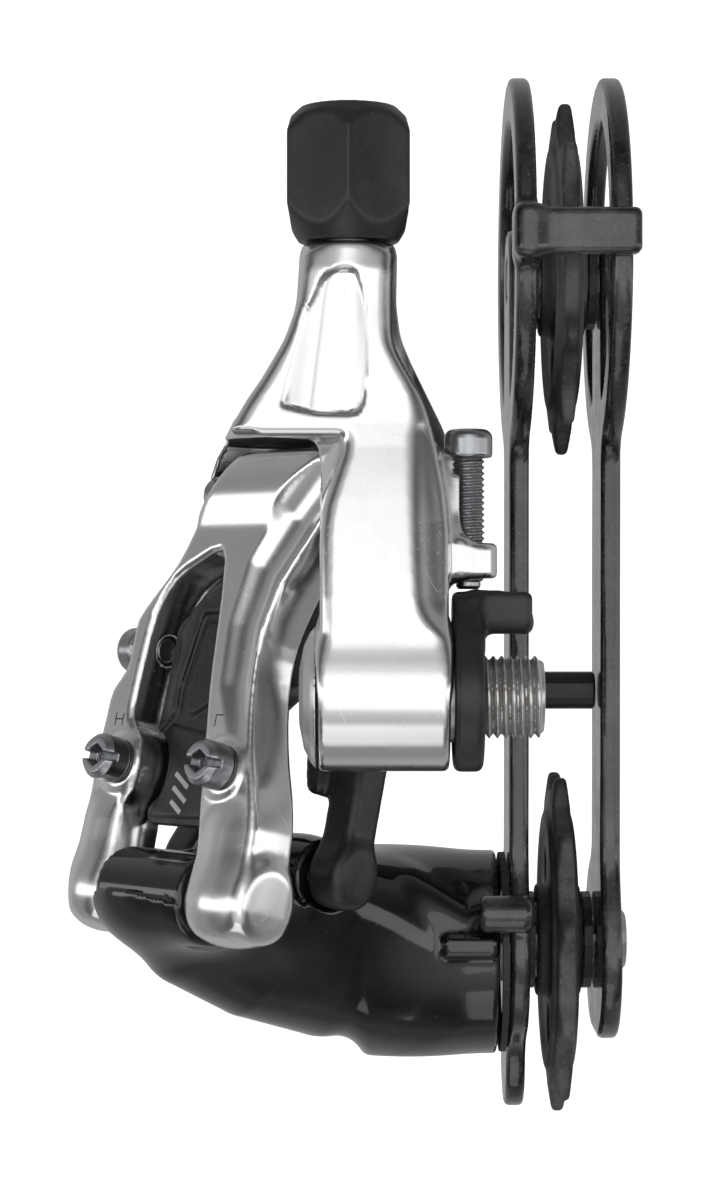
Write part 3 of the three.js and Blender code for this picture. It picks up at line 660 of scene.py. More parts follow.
def link_plate_form():
    """The cover plate between the arms."""
    edge = [
        (9.4, -5.6), (14.4, -4.3), (25, -3.5), (33, -2.2), (42, -0.9), (43, -1.6), (43, -14),
        (41, -14.7), (39.4, -12.6), (36, -12), (32.9, -12.6), (31, -14.6), (17.6, -14.3), (13, -10.4),
    ]
    slab = prism(rounded_corners(edge, 1), -1.2, 0.1, OUTER_LINK, 0.3)
    border = [
        (9.4, -5.6), (14.4, -4.3), (15.6, -6), (15.6, -10), (25.2, -12), (28.6, -11.8), (31.6, -14.5),
        (17.6, -14.3), (13, -10.4),
    ]
    raised = prism(rounded_corners(border, 0.8), -0.5, 0.8, OUTER_LINK, 0.35)
    panel_edge = [(16.8, -4.9), (26.4, -4.2), (29.2, -9.3), (26.4, -10.6), (16.8, -9)]
    panel = prism(rounded_corners(panel_edge, 0.8), -0.5, 0.55, OUTER_LINK, 0.3)
    field_edge = [
        (30.2, -12.6), (31.4, -3.4), (41.8, -1.9), (42.2, -13.6), (40, -12.4), (36, -11), (33, -12),
    ]
    printed_field = prism(rounded_corners(field_edge, 0.6), -0.5, 0.45, OUTER_LINK, 0.3)
    gutter = [(12.3, -7.6, 1.15), (14.6, -12.2, 1.15), (18.6, -13.4, 1.15), (29.8, -13.7, 1.15)]
    groove = swept([at(OUTER_LINK, *p) for p in gutter], (0.55,) * 4)
    body = joined(slab, raised, panel, printed_field, blend=0.25)
    screw_room = cylinder(at(OUTER_LINK, 36, 3, -9), at(OUTER_LINK, 36, 3, 9), 4.1, 0.1)
    return cut(body, groove, screw_room, blend=0.2)


def inner_link_form():
    """The inner link: a plain forked web with a rib."""
    plan = [
        (-4.2, -10.8), (8, -10.8), (22, -17.6), (38, -23.8), (52, -23.8), (55.6, -22.4), (55.8, -19.6),
        (52, -18.5), (41, -18.3), (31, -12), (27, -6), (31, 0), (38, 3.6), (52, 3.6), (55.4, 4.6),
        (55.4, 8), (52, 8.9), (24, 8.9), (12, 6.9), (-4.2, 6.9),
    ]
    web = prism(rounded_corners(plan, 3), -2.6, 2.6, INNER_LINK, 1.1)
    length = LINK_LENGTH
    ends = [
        cylinder(at(INNER_LINK, 0, -10.9, 0), at(INNER_LINK, 0, 6.9, 0), 4.4, 0.8),
        cylinder(at(INNER_LINK, length, 3.6, 0), at(INNER_LINK, length, 9.2, 0), 4, 1.2),
        cylinder(at(INNER_LINK, length, -24.1, 0), at(INNER_LINK, length, -18.6, 0), 4, 1.2),
    ]
    rib_edge = [(8, -3), (30, -1.5), (40, 0.5), (42, 1.2), (42, 3.4), (30, 2.6), (8, 1)]
    rib = prism(rounded_corners(rib_edge, 1), -1, 4.1, INNER_LINK, 0.7)
    whole = joined(web, rib, *ends, blend=1.8)
    return cut(
        whole,
        cylinder(at(INNER_LINK, 0, -14, 0), at(INNER_LINK, 0, 14, 0), 2.7, 0.1),
        cylinder(at(INNER_LINK, 0, -5.3, 0), at(INNER_LINK, 0, 1.3, 0), 5.6, 0.2),
        cylinder(at(INNER_LINK, length, -23.3, 0), at(INNER_LINK, length, 8.3, 0), 2.55, 0.1),
        blend=0.3,
    )


def cage_knuckle_form():
    """The lower knuckle: a spring housing and the two horns that the links pin to."""
    outer, inner = -14.0, 3.4
    centre = np.array([PIVOT[0], 0, PIVOT[2]])
    housing = cylinder(centre + outer * Y, centre + inner * Y, 13.5, 0.7)
    hub = centre + (outer + 5.5) * Y
    spine = [
        OUTER_FRONT - 2.2 * PIN_AXIS, (31.5, -36.5, -18.5), (35.5, -29, -23.5), (38, -20, -29.5), hub,
    ]
    horn = joined(
        cylinder(OUTER_FRONT - 7.4 * PIN_AXIS, OUTER_FRONT + 7.9 * PIN_AXIS, 5.3, 0.5),
        capsule(OUTER_FRONT - 3.2 * PIN_AXIS, hub - 1.2 * Y, 5.2, 9.6),
        capsule(OUTER_FRONT + 3.6 * PIN_AXIS, hub, 5.2, 10.4),
        swept(spine, (5.2, 6.0, 6.6, 7.4, 9.6)),
        blend=4.5,
    )
    inner_horn = joined(
        cylinder(INNER_FRONT - 10.7 * PIN_AXIS, INNER_FRONT + 10.7 * PIN_AXIS, 4.4, 0.6),
        capsule(INNER_FRONT - 6 * PIN_AXIS, hub, 4.4, 11.0),
        capsule(INNER_FRONT + 6 * PIN_AXIS, hub + 2 * Y, 4.4, 11.6),
        blend=2.5,
    )
    crown = swept([centre + [-9.2, -9, 9.6], centre + [-4.6, -1.4, 11.6], centre + [-6.2, 2.0, 10.9]],
                  (2.6, 2.2, 1.9))
    stop = block((31.7, -4, -25.4), (34.2, 2.9, -21.7), rounding=0.6)
    whole = joined(housing, horn, inner_horn, blend=4.5)
    whole = joined(whole, crown, blend=2.2)
    whole = joined(whole, stop, blend=1.4)
    whole = shared(whole, half(centre + 13.5 * X, X), half((0, inner, 0), Y), blend=0.5)
    outer_pin = (OUTER_FRONT, X, PIN_AXIS, -SHIFT_AXIS)
    inner_pin = (INNER_FRONT, X, PIN_AXIS, -SHIFT_AXIS)

    def along_pin(place, radius, low, high):
        return cylinder(at(place, 0, low, 0), at(place, 0, high, 0), radius, 0.1)

    return cut(
        whole,
        along_pin(outer_pin, 5.6, 8.2, 24), along_pin(outer_pin, 5.6, -24, -7.7),
        cut(sweep(OUTER_FRONT, -1, 4.2, -16, 30, 32), along_pin(outer_pin, 5.5, -7.8, 8.3), blend=0),
        sweep(OUTER_FRONT, -1, 5.8, 8.2, 20, 6),
        along_pin(inner_pin, 4.4, 10.9, 24), along_pin(inner_pin, 4.4, -24, -10.9),
        sweep(INNER_FRONT, -1, 3.2, 10.9, 24, 32), sweep(INNER_FRONT, -1, 3.2, -24, -10.9, 32),
        cut(sweep(INNER_FRONT, -1, 5.4, -24, 24, 32), along_pin(inner_pin, 5, -10.7, 10.7), blend=0),
        along_pin(outer_pin, 2.7, -12, 12), along_pin(inner_pin, 2.7, -14, 14),
        cylinder(centre - 7 * Y, centre + 6 * Y, 11, 0.2),
        cylinder(centre - 13 * Y, centre, 5.9, 0.1),
        blend=0.4,
    )


def washer_form():
    """The stop washer, with the tab that meets the hanger."""
    thick, reach = 3.6, 12.7
    disc = cylinder((0, -thick, 0), (0, 0, 0), 9, 0.9)
    arm_edge = [(-reach, 0.6), (-reach, -6), (-10.6, -7.6), (-4, -8.4), (-4, 3), (-8, 3)]
    arm = flat(outlined(arm_edge, 1), -thick, -0.2, 0.8)
    tab_edge = [(-reach, 0.6), (-reach, -5), (-8.4, -4.6), (-7.4, -0.6), (-8.6, 0.6)]
    tab = flat(outlined(tab_edge, 0.8), -1.4, 6, 0.9)
    lip = swept([(-11.6, 1.2, -1.0), (-9.0, 5.1, -1.6)], (1.2, 0.9))
    whole = joined(disc, arm, tab, blend=1.3)
    whole = joined(whole, shared(lip, half((-12.5, 0, 0), -X), blend=0), blend=1)
    bore = cylinder((0, -12, 0), (0, 12, 0), 5.8, 0.2)
    pocket = cylinder((0, -5, 0), (0, -1.9, 0), 7.2, 0.2)
    return cut(whole, bore, pocket, blend=0.3)


def knob_form():
    """The six-sided adjuster knob, its flats scooped between full corners."""
    rear, front = -71.5, -55.1
    length = front - rear
    place = (np.array([rear, NECK_Y, NECK_Z]), Z, -Y, X)
    faces = []
    for i in range(6):
        angle = i * math.pi / 3 + math.pi / 6
        out = math.cos(angle) * place[1] + math.sin(angle) * place[2]
        low, high = place[0], place[0] + (length - 5.4) * X
        faces.append(capsule(low + 27.0 * out - 30 * X, high + 27.0 * out + 30 * X, 20))
    solid = turned([(0, 0), (5.8, 0), (7.3, 1.4), (8.8, 3.6), (8.8, length - 4.6), (6.3, length - 0.4),
                    (6.0, length), (0, length)], place)
    solid = cut(solid, *faces, blend=0.35)
    mouth = cylinder((rear - 2, NECK_Y, NECK_Z), (rear + 9, NECK_Y, NECK_Z), 3.1, 0.1)
    rest = cylinder((rear + 9.5, NECK_Y, NECK_Z), (front + 2, NECK_Y, NECK_Z), 3.3, 0.1)
    bore = cylinder((rear - 2, NECK_Y, NECK_Z), (front + 2, NECK_Y, NECK_Z), 1.25, 0.1)
    return cut(solid, mouth, rest, bore, blend=0.6)


def hanger_bolt_form():
    """The hanger bolt: domed head, plain shank with a clip groove, threaded stud."""
    head = BOSS_OUTER - 0.3
    place = (np.array([0, 0, 0]), Z, X, Y)
    dome = turned([(0, head - 2.1), (3.4, head - 2.0), (6.2, head - 1.45), (7.8, head - 0.7), (8.6, head),
                   (8.6, head + 0.01), (0, head + 0.01)], place)
    shank = cylinder((0, head - 0.2, 0), (0, -0.3, 0), 5.5, 0.2)
    groove = ring(place, 4.9, 8, -3, -2, 0.05)
    stud = threaded(place, 5, 0.56, 1, -0.6, 7.3)
    tip = cut(stud, ring(place, 4.3, 9, 6.9, 9, 0.3), blend=0.3)
    whole = joined(dome, cut(shank, groove, blend=0.1), blend=0.1)
    whole = joined(whole, tip, blend=0.05)
    socket = hexagonal(place, 5, head - 6, head + 3, 0.1)
    hollow_end = cylinder((0, 4.5, 0), (0, 12, 0), 2.6, 0.3)
    return cut(whole, socket, hollow_end, blend=0.25)


def b_screw_form():
    """The screw that sets the knuckle's rest angle."""
    head, tip = node_low("b_tension_screw")[0], node_high("b_tension_screw")[0]
    place = (np.array([head, B_SCREW[1], B_SCREW[2]]), Y, Z, X)
    cap = turned(rounded_corners([(0, 0), (2.3, 0), (2.95, 0.7), (2.95, 3.5), (0, 3.5)], 0.4), place)
    length = tip - head
    shank = threaded(place, 2, 0.34, 0.72, 3.3, length - 1)
    dog = turned([(0, 3), (1.5, 3), (1.5, length - 0.3), (1.2, length), (0, length)], place)
    whole = joined(cap, joined(shank, dog, blend=0.05), blend=0.1)
    return cut(whole, hexagonal(place, 2.7, -1, 2.4, 0.08), blend=0.2)


def limit_screw_form(y):
    """A limit screw at one of the outer link's two seats."""
    place = (at(OUTER_LINK, 36, y, 0), LINK_X, PIN_AXIS, LINK_Z)
    top, tip = 8.6, -5.0
    under, shoulder = top - 3.6, top - 0.75
    profile = [(0, under), (2.75, under), (2.9, under + 0.2), (2.9, shoulder), (2.3, top), (0, top)]
    cap = turned(profile, place)
    collar = ring(place, 0.2, 2.35, top - 4.0, top - 3.5, 0.1)
    shank = threaded(place, 2, 0.33, 0.7, tip, top - 3.7)
    slot = block((-0.5, -4, top - 1.5), (0.5, 4, top + 2), place, 0.08)
    whole = joined(cap, joined(collar, shank, blend=0.05), blend=0.1)
    return cut(whole, slot, hexagonal(place, 2.5, top - 2.3, top + 2, 0.08), blend=0.18)


def anchor_bolt_form():
    """The cable anchor bolt on the outer link's edge."""
    origin = at(OUTER_LINK, 20.6, 0, 0)
    place = (origin, LINK_Z, LINK_X, PIN_AXIS)
    profile = [(0, -23.4), (2.5, -23.4), (3, -22.9), (3, -20.4), (0, -20.4)]
    head = turned(rounded_corners(profile, 0.4), place)
    shank = threaded(place, 1.7, 0.25, 0.7, -20.6, -16.3)
    return cut(joined(head, shank, blend=0.1), hexagonal(place, 2.6, -25, -21.6, 0.1), blend=0.2)


LOOP = (TENSION[0] - 1.6, TENSION[2])


def cage_plate_outline(front_reach):
    front = (PIVOT[0], PIVOT[2] - 1)
    guide = (GUIDE[0], GUIDE[2])
    outline = bars_joined(
        bar((LOOP[0] + 8, LOOP[1]), front, 7.5, 7.5),
        bar(front, guide, 11.6, 10),
        bar(guide, (front_reach - 7.5, guide[1] - 1), 10, 7.5),
        blend=5,
    )
    outline = bars_joined(outline, bar(LOOP, (LOOP[0] + 0.01, LOOP[1]), 25, 25), blend=3)
    hole = bar(LOOP, (LOOP[0] + 0.01, LOOP[1]), 19.4, 19.4)
    spoke = bar((TENSION[0], TENSION[2]), (TENSION[0] + 24, TENSION[2]), 6.6, 7.4)
    return bars_cut(outline, bars_cut(hole, spoke, 2.5), 0.3)


def cage_plate_form(outer, inner, front_reach):
    plate = flat(cage_plate_outline(front_reach), outer, inner, 0.7)
    bolts = [cylinder((c[0], outer - 2, c[2]), (c[0], inner + 2, c[2]), 2.9, 0.1) for c in (GUIDE, TENSION)]
    return plate, bolts


def outer_plate_form():
    """The outboard cage plate, with the bridge over the chain and the stop peg."""
    outer, inner, far = 4.8, 7.4, 19.4
    plate, bolts = cage_plate_form(outer, inner, 57.4)
    top = TENSION[2] + 25
    root = block((-60.6, outer, top - 3), (-54.4, inner, top + 3.6), rounding=0.8)
    bridge = block((-60.4, outer, top + 0.35), (-54.6, far + 0.8, top + 3.5), rounding=0.9)
    stop = joined(
        cylinder((28.7, 0.7, -22.2), (28.7, inner - 0.3, -22.2), 2.4, 0.6),
        capsule((28.7, outer + 1.4, -22.4), (29.5, outer + 1.4, -29.4), 1.7, 1.9),
        blend=1.2,
    )
    centre = np.array([PIVOT[0], 0, PIVOT[2]])
    clearance = cylinder(centre - 4 * Y, centre + 3.75 * Y, 14.1, 0.1)
    seal_room = cylinder(centre + 2.4 * Y, centre + 4.8 * Y, 13.7, 0.1)
    whole = joined(plate, root, bridge, blend=2)
    whole = joined(whole, cut(stop, clearance, seal_room, blend=0.3), blend=0.8)
    keep_out = block((-62, inner + 0.2, top - 6), (-53, 16.6, top + 0.3), rounding=0.2)
    other = block((-62, 16.4, top - 6), (-53, 21, top + 0.3), rounding=0.2)
    return cut(whole, cylinder(centre, centre + 10 * Y, 4.3, 0.1), keep_out, other, *bolts, blend=0.3)


def inner_plate_form():
    """The inboard cage plate."""
    plate, bolts = cage_plate_form(16.8, 19.4, 46.2)
    return cut(plate, *bolts, blend=0.3)


def pulley_form(centre):
    """A toothed wheel with a ribbed web and a ring of round holes."""
    teeth, tip, root = 11, 23.4, 20.2
    place = (np.asarray(centre, float), X, Z, -Y)
    half_pitch = math.pi / teeth
    share = np.array([0, 0.1, 0.22, 0.36, 0.5, 0.66, 0.82, 1.0])
    reach = np.array([tip, tip - 0.15, tip - 0.8, root + 1.3, root + 0.45, root + 0.1, root, root])

    def toothed(p):
        q = local(p, place)
        angle = np.abs((np.arctan2(q[:, 1], q[:, 0]) + half_pitch) % (2 * half_pitch) - half_pitch)
        rim = np.interp(angle / half_pitch, share, reach)
        thin = np.clip((np.hypot(q[:, 0], q[:, 1]) - root) / (tip - root), 0, 1) * 0.45
        return corner((np.hypot(q[:, 0], q[:, 1]) - rim) * 0.75, np.abs(q[:, 2]) - 1.2 + thin, 0.5)

    ribs = ring(place, 15.4, 17.6, -1.75, 1.75, 0.5)
    hub = ring(place, 5.55, 7.6, -3, 3, 0.4)
    whole = joined(toothed, ribs, hub, blend=0.9)
    hole_count, hole_circle, hole_radius = 5, 11.6, 2.7
    windows = []
    for i in range(hole_count):
        angle = 2 * math.pi * i / hole_count
        mid = np.asarray(centre, float) + hole_circle * (math.cos(angle) * X + math.sin(angle) * Z)
        windows.append(cylinder(mid - 4 * Y, mid + 4 * Y, hole_radius, 0.2))
    bore = cylinder(np.asarray(centre) - 9 * Y, np.asarray(centre) + 9 * Y, 5.5, 0.1)
    return cut(whole, bore, *windows, blend=0.4)


def box_of(*names):
    low = np.min([node_low(n) for n in names], axis=0)
    high = np.max([node_high(n) for n in names], axis=0)
    return low, high


def build_all():
    low, high = box_of("b_knuckle")
    piece("b_knuckle_form", "knuckle", "polished_alloy", knuckle_form(), low, high, 0.42)
    low, high = box_of("outer_link")
    piece("outer_link_form", "outer_arm", "polished_alloy", outer_link_form(), low - 1, high + 1, 0.4)
    piece("link_plate_form", "outer_arm", "filled_nylon", link_plate_form(), *box_of("link_plate"), 0.28)
    rear_pin = cylinder(at(FORK, 0, -12.6, 0), at(FORK, 0, 15.9, 0), 2.4, 0.3)
    piece("outer_rear_pin_form", "knuckle", "zinc_steel", rear_pin, *box_of("outer_rear_pin"), 0.3)
    piece("inner_link_form", "inner_arm", "filled_nylon", inner_link_form(), *box_of("inner_link"), 0.5)
    low, high = box_of("p_knuckle")
    piece("p_knuckle_form", "cage_knuckle", "gloss_black", cage_knuckle_form(), low - 1, high + 1, 0.45)
    piece("b_washer_form", "hanger", "satin_black", washer_form(), *box_of("b_washer"), 0.35)
    low, high = box_of("barrel_adjuster")
    piece("barrel_adjuster_form", "adjuster", "satin_black", knob_form(), low - 1.2, high + 1.2, 0.35)
    piece("hanger_bolt_form", "hanger", "satin_alloy", hanger_bolt_form(), *box_of("hanger_bolt"), 0.24)
    piece("b_tension_screw_form", "b_screw", "zinc_steel", b_screw_form(), *box_of("b_tension_screw"), 0.15)
    for which, y in (("high", -16.4), ("low", 3)):
        name = f"limit_screw_{which}"
        piece(f"{name}_form", f"{which}_screw", "zinc_steel", limit_screw_form(y), *box_of(name), 0.16)
    name = "cable_anchor_bolt"
    piece(f"{name}_form", "outer_arm", "zinc_steel", anchor_bolt_form(), *box_of(name), 0.18)
    piece("outer_cage_plate_form", "cage", "carbon", outer_plate_form(), *box_of("outer_cage_plate"), 0.5)
    piece("inner_cage_plate_form", "cage", "carbon", inner_plate_form(), *box_of("inner_cage_plate"), 0.5)
    for wheel, centre in (("guide", GUIDE), ("tension", TENSION)):
        piece(f"{wheel}_pulley_form", f"{wheel}_wheel", "worn_resin", pulley_form(centre),
              *box_of(f"{wheel}_pulley"), 0.4)


def marks(name, body, strokes, low, high, rounding=0.05, cell=0.12):
    """Thin strokes lying on the outer link: each is a pair of ends with a width."""
    bars = []
    for (ax, ay), (bx, by), width in strokes:
        across = np.array([ay - by, bx - ax]) / math.hypot(bx - ax, by - ay) * width / 2
        corners = [(ax + across[0], ay + across[1]), (ax - across[0], ay - across[1]),
                   (bx - across[0], by - across[1]), (bx + across[0], by + across[1])]
        bars.append(prism(corners, low, high, OUTER_LINK, rounding))
    ends = np.array([at(OUTER_LINK, *end, low) for stroke in strokes for end in stroke[:2]])
    thing = skin(name, joined(*bars, blend=0), ends.min(0) - 1.5, ends.max(0) + 1.5, cell)
    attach(thing, body)
    return thing


build_all()
letter_h = marks("high_screw_letter", "outer_arm", [
    ((29.6, -18.9), (31.4, -18.9), 0.22),
    ((29.6, -17.5), (31.4, -17.5), 0.22),
    ((30.5, -18.9), (30.5, -17.5), 0.22),
], LINK_TOP - 0.2, LINK_TOP + 0.04)
letter_l = marks("low_screw_letter", "outer_arm", [
    ((29.4, 0.0), (30.9, 0.0), 0.22), ((29.4, 0.0), (29.4, 1.3), 0.22),
], LINK_TOP - 0.2, LINK_TOP + 0.04)
bars = marks("link_plate_bars", "outer_arm", [
    ((36.4, -9.8), (38.2, -7.0), 0.7), ((38.2, -9.8), (40.0, -7.0), 0.7), ((40.0, -9.8), (41.4, -7.6), 0.7),
], 0.3, 0.5)


# ------------------------------------------------------------------ finishes

def give(tree, value, socket):
    """Set on the socket where it is the same all over, linked to it where it changes."""
    if isinstance(value, bpy.types.NodeSocket):
        tree.links.new(value, socket)
    else:
        socket.default_value = value


def sums(tree, operation, a, b=0.5, c=None):
    """A sum of two or three values, each a number or an output."""
    found = tree.nodes.new("ShaderNodeMath")
    found.operation = operation
    for socket, value in zip(found.inputs, (a, b, c)):
        if value is not None:
            give(tree, value, socket)
    return found.outputs[0]


def laid_over(tree, under, over, mask):
    """A colour or number laid over another where the mask is white."""
    colored = isinstance(over, tuple)
    mix = tree.nodes.new("ShaderNodeMix")
    mix.data_type = "RGBA" if colored else "FLOAT"
    first, second, result = (6, 7, 2) if colored else (2, 3, 0)
    tree.links.new(mask, mix.inputs["Factor"])
    give(tree, under, mix.inputs[first])
    give(tree, (*over, 1) if colored else over, mix.inputs[second])
    return mix.outputs[result]


def stepped(tree, value, low, high, out_low=0.0, out_high=1.0):
    found = tree.nodes.new("ShaderNodeMapRange")
    found.interpolation_type = "SMOOTHSTEP"
    tree.links.new(value, found.inputs["Value"])
    for key, number in (("From Min", low), ("From Max", high), ("To Min", out_low), ("To Max", out_high)):
        found.inputs[key].default_value = number
    return found.outputs["Result"]


def placed(tree, scale, turn=(0, 0, 0)):
    """The place on the piece in millimetres, turned and stretched."""
    coordinates = tree.nodes.new("ShaderNodeTexCoord")
    mapping = tree.nodes.new("ShaderNodeMapping")
    mapping.vector_type = "TEXTURE"
    mapping.inputs["Rotation"].default_value = turn
    mapping.inputs["Scale"].default_value = [MM * s for s in scale]
    tree.links.new(coordinates.outputs["Object"], mapping.inputs["Vector"])
    return mapping.outputs["Vector"]


def noise(tree, vector, scale=1.0, detail=4.0, roughness=0.55):
    found = tree.nodes.new("ShaderNodeTexNoise")
    found.inputs["Scale"].default_value = scale
    found.inputs["Detail"].default_value = detail
    found.inputs["Roughness"].default_value = roughness
    tree.links.new(vector, found.inputs["Vector"])
    return found.outputs["Fac"]


def effect(name, build, **sockets):
    """A node group with a mask output, and numbers that each finish sets."""
    tree = bpy.data.node_groups.new(name, "ShaderNodeTree")
    tree.interface.new_socket("Mask", in_out="OUTPUT", socket_type="NodeSocketFloat")
    for key, default in sockets.items():
        tree.interface.new_socket(key, in_out="INPUT", socket_type="NodeSocketFloat").default_value = default
    inputs = tree.nodes.new("NodeGroupInput")
    outputs = tree.nodes.new("NodeGroupOutput")
    tree.links.new(build(tree, inputs.outputs), outputs.inputs["Mask"])
    return tree


def grain(direction):
    """Fine lines left by a brush or a wheel."""
    def build(tree, given):
        scale = [0.12, 0.12, 0.12]
        scale[direction] = 9.0
        fine = noise(tree, placed(tree, scale, (0.05, 0.03, -0.16)), 1, 3)
        broad = noise(tree, placed(tree, [s * 3 for s in scale], (0.02, 0.05, -0.16)), 1, 2)
        both = sums(tree, "ADD", sums(tree, "MULTIPLY", fine, 0.65), sums(tree, "MULTIPLY", broad, 0.35))
        return sums(tree, "MULTIPLY", both, given["Amount"])
    return build


def scratches(tree, given):
    """Hairline scratches running every way."""
    total = None
    for turn in ((0.3, 0.2, 0.5), (1.1, 0.6, 2.1), (0.2, 1.2, 1.2)):
        lines = noise(tree, placed(tree, (14, 0.22, 0.22), turn), 1, 1)
        thin = stepped(tree, lines, 0.715, 0.74)
        where = noise(tree, placed(tree, (6, 6, 6), turn), 1, 1)
        part = sums(tree, "MULTIPLY", thin, stepped(tree, where, 0.45, 0.62))
        total = part if total is None else sums(tree, "MAXIMUM", total, part)
    return sums(tree, "MULTIPLY", total, given["Amount"])


def worn_edges(tree, given):
    """Bare or rubbed edges, broken up unevenly."""
    edge = tree.nodes.new("ShaderNodeAttribute")
    edge.attribute_name = "edge"
    broken = noise(tree, placed(tree, (1.3, 1.3, 1.3)), 1, 6, 0.7)
    patchy = noise(tree, placed(tree, (9, 9, 9)), 1, 2)
    ragged = sums(tree, "MULTIPLY", sums(tree, "SUBTRACT", broken, 0.5), 0.9)
    worn = sums(tree, "ADD", edge.outputs["Fac"], ragged)
    worn = sums(tree, "ADD", worn, sums(tree, "MULTIPLY", sums(tree, "SUBTRACT", patchy, 0.5), 0.7))
    worn = sums(tree, "SUBTRACT", worn, given["Threshold"])
    return sums(tree, "MULTIPLY", stepped(tree, worn, 0, 0.22), given["Amount"])


def grime(tree, given):
    """Old grease and dirt gathered in the hollows."""
    hollow = tree.nodes.new("ShaderNodeAttribute")
    hollow.attribute_name = "hollow"
    uneven = noise(tree, placed(tree, (2.2, 2.2, 2.2)), 1, 5, 0.65)
    dirty = sums(tree, "MULTIPLY", hollow.outputs["Fac"], sums(tree, "ADD", uneven, 0.35))
    return sums(tree, "MULTIPLY", stepped(tree, dirty, 0.3, 0.9), given["Amount"])


def dust(tree, given):
    """Pale road dust lying on what faces up, in specks and smears."""
    geometry = tree.nodes.new("ShaderNodeNewGeometry")
    up = tree.nodes.new("ShaderNodeSeparateXYZ")
    tree.links.new(geometry.outputs["Normal"], up.inputs[0])
    specks = stepped(tree, noise(tree, placed(tree, (0.5, 0.5, 0.5)), 1, 3, 0.7), 0.56, 0.72)
    cloud = stepped(tree, noise(tree, placed(tree, (7, 7, 7)), 1, 4, 0.6), 0.4, 0.75)
    lying = stepped(tree, up.outputs["Z"], -0.2, 0.9, 0.25, 1)
    both = sums(tree, "ADD", sums(tree, "MULTIPLY", specks, 0.55), sums(tree, "MULTIPLY", cloud, 0.45))
    return sums(tree, "MULTIPLY", sums(tree, "MULTIPLY", both, lying), given["Amount"])


def smudges(tree, given):
    """Cloudy patches where hands and cloths have been."""
    cloud = noise(tree, placed(tree, (8, 5, 6), (0, 0, 0.4)), 1, 5, 0.6)
    return sums(tree, "MULTIPLY", stepped(tree, cloud, 0.38, 0.7), given["Amount"])


def flecks(tree, given):
    """Short fibres showing at the skin of a moulding."""
    total = None
    for turn in ((0, 0, 0.2), (0.7, 0, 1.3), (0, 0.6, 2.4)):
        fibre = stepped(tree, noise(tree, placed(tree, (1.6, 0.16, 0.16), turn), 1, 1), 0.6, 0.7)
        total = fibre if total is None else sums(tree, "MAXIMUM", total, fibre)
    return sums(tree, "MULTIPLY", total, given["Amount"])


def weave(tree, given):
    """A twill of flat fibre bundles, seen through clear resin."""
    vector = placed(tree, (1.1, 1.1, 1.1), (0, 0.785, 0))
    split = tree.nodes.new("ShaderNodeSeparateXYZ")
    tree.links.new(vector, split.inputs[0])
    across, along_it = split.outputs["X"], split.outputs["Z"]
    step = sums(tree, "FLOOR", across)
    other = sums(tree, "FLOOR", along_it)
    twill = sums(tree, "FRACT", sums(tree, "MULTIPLY", sums(tree, "ADD", step, other), 0.25))
    over = sums(tree, "LESS_THAN", twill, 0.49)
    threads = noise(tree, placed(tree, (0.12, 6, 2.5), (0, 0.785, 0)), 1, 2)
    tone = sums(tree, "ADD", sums(tree, "MULTIPLY", over, 0.6), sums(tree, "MULTIPLY", threads, 0.4))
    return sums(tree, "MULTIPLY", tone, given["Amount"])


def pitting(tree, given):
    """Small uneven dimples of a blasted or cast skin."""
    return sums(tree, "MULTIPLY", noise(tree, placed(tree, (0.35, 0.35, 0.35)), 1, 4, 0.7), given["Amount"])


EFFECTS = {
    "grain_x": effect("brushed grain along", grain(0), Amount=1.0),
    "grain_y": effect("brushed grain across", grain(1), Amount=1.0),
    "scratches": effect("hairline scratches", scratches, Amount=1.0),
    "edges": effect("worn edges", worn_edges, Amount=1.0, Threshold=0.9),
    "grime": effect("grime in hollows", grime, Amount=1.0),
    "dust": effect("road dust", dust, Amount=1.0),
    "smudges": effect("smudges", smudges, Amount=1.0),
    "flecks": effect("fibre flecks", flecks, Amount=1.0),
    "weave": effect("fibre weave", weave, Amount=1.0),
    "pitting": effect("pitting", pitting, Amount=1.0),
}


def finish_of(name, color, roughness, metallic=0.0, coat=0.0, layers=(), reliefs=(), specular=0.5):
    """A material: a base under layers that are laid on by mask, with fine relief."""
    material = bpy.data.materials.new(name)
    material.use_nodes = True
    tree = material.node_tree
    shader = tree.nodes["Principled BSDF"]
    values = {"Base Color": (*color, 1), "Roughness": roughness, "Metallic": metallic}
    for kind, amount, layer_color, layer_rough, layer_metal, extra in layers:
        group = tree.nodes.new("ShaderNodeGroup")
        group.node_tree = EFFECTS[kind]
        group.inputs["Amount"].default_value = amount
        for key, value in extra.items():
            group.inputs[key].default_value = value
        for key, value in zip(values, (layer_color, layer_rough, layer_metal)):
            if value is not None:
                values[key] = laid_over(tree, values[key], value, group.outputs["Mask"])
    for key, value in values.items():
        give(tree, value, shader.inputs[key])
    shader.inputs["Coat Weight"].default_value = coat
    shader.inputs["Coat Roughness"].default_value = 0.04
    shader.inputs["Specular IOR Level"].default_value = specular
    normal = None
    for kind, depth in reliefs:
        group = tree.nodes.new("ShaderNodeGroup")
        group.node_tree = EFFECTS[kind]
        bump = tree.nodes.new("ShaderNodeBump")
        bump.inputs["Strength"].default_value = 0.6
        bump.inputs["Distance"].default_value = depth * MM
        tree.links.new(group.outputs["Mask"], bump.inputs["Height"])
        if normal is not None:
            tree.links.new(normal, bump.inputs["Normal"])
        normal = bump.outputs["Normal"]
    if normal is not None:
        tree.links.new(normal, shader.inputs["Normal"])
    return material


